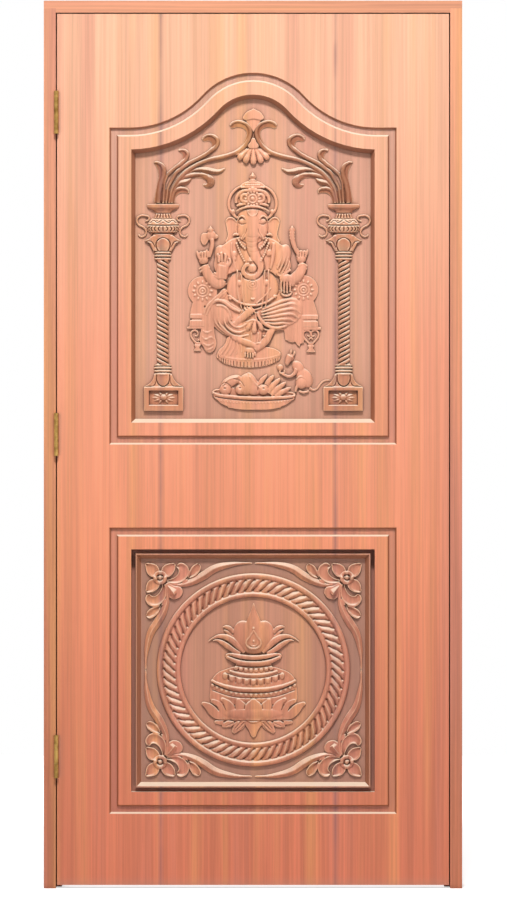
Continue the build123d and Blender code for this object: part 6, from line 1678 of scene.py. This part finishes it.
# floor, light and camera
studio = {"floor": 9, "grey": 0.75, "glow": 0.6, "room": 0.15, "aim": (0, 0, 1.0),
          "lamps": [("keyLamp", (-0.1, -3.6, 6.3), 0.9, 365), ("fillLamp", (2.6, -5.0, 1.4), 2.0, 16),
                    ("backLamp", (-1.6, 3.6, 3.2), 2.0, 90)]}  # name, place, size, watts
view = {"aside": 0.0012, "away": 10.497, "up": 1.0227, "lens": 180, "sensor": 36}
deselectAll()
bpy.ops.mesh.primitive_plane_add(size=studio["floor"], location=(0, 0, 0))
floor = bpy.context.object
floor.name = "floor"
paleFloor = bpy.data.materials.new("paleFloor")
paleFloor.use_nodes = True
floorNodes, floorLinks = paleFloor.node_tree.nodes, paleFloor.node_tree.links
floorShader = floorNodes["Principled BSDF"]
floorShader.inputs["Base Color"].default_value = (studio["grey"], studio["grey"], studio["grey"], 1)
floorShader.inputs["Roughness"].default_value = 0.9
floorShader.inputs["Emission Color"].default_value = (1, 1, 1, 1)
floorPath = floorNodes.new("ShaderNodeLightPath")
floorSeen = floorNodes.new("ShaderNodeMath")
floorSeen.operation = "MULTIPLY"
floorSeen.inputs[1].default_value = studio["glow"]
floorLinks.new(floorPath.outputs["Is Camera Ray"], floorSeen.inputs[0])
floorLinks.new(floorSeen.outputs[0], floorShader.inputs["Emission Strength"])
floor.data.materials.append(paleFloor)

world = bpy.data.worlds.new("whiteRoom")
bpy.context.scene.world = world
world.use_nodes = True
roomNodes, roomLinks = world.node_tree.nodes, world.node_tree.links
roomLight = roomNodes["Background"]
roomLight.inputs["Color"].default_value = (1, 1, 1, 1)
roomPath = roomNodes.new("ShaderNodeLightPath")
seen = roomNodes.new("ShaderNodeMath")
seen.operation = "MAXIMUM"
roomLinks.new(roomPath.outputs["Is Camera Ray"], seen.inputs[0])
roomLinks.new(roomPath.outputs["Is Glossy Ray"], seen.inputs[1])
seenThrough = roomNodes.new("ShaderNodeMath")
seenThrough.operation = "MAXIMUM"
roomLinks.new(seen.outputs[0], seenThrough.inputs[0])
roomLinks.new(roomPath.outputs["Is Transmission Ray"], seenThrough.inputs[1])
strength = roomNodes.new("ShaderNodeMapRange")
strength.inputs["To Min"].default_value = studio["room"]
strength.inputs["To Max"].default_value = 1.0
roomLinks.new(seenThrough.outputs[0], strength.inputs["Value"])
roomLinks.new(strength.outputs["Result"], roomLight.inputs["Strength"])


def areaLamp(name, place, aim, size, watts):
    deselectAll()
    bpy.ops.object.light_add(type="AREA", location=place)
    lamp = bpy.context.object
    lamp.name = name
    lamp.data.shape = "DISK"
    lamp.data.size = size
    lamp.data.energy = watts
    lamp.rotation_euler = (mathutils.Vector(aim) - mathutils.Vector(place)).to_track_quat("-Z",
        "Y").to_euler()


for lamp, place, size, watts in studio["lamps"]:
    areaLamp(lamp, place, studio["aim"], size, watts)

bpy.ops.object.camera_add(location=(view["aside"], leafFront - view["away"], view["up"]),
    rotation=(math.radians(90), 0, 0))
camera = bpy.context.object
camera.data.lens = view["lens"]
camera.data.sensor_fit = "VERTICAL"
camera.data.sensor_height = view["sensor"]
camera.data.clip_end = 100
bpy.context.scene.camera = camera
bpy.context.scene.view_settings.view_transform = "Standard"
print("light and camera set")
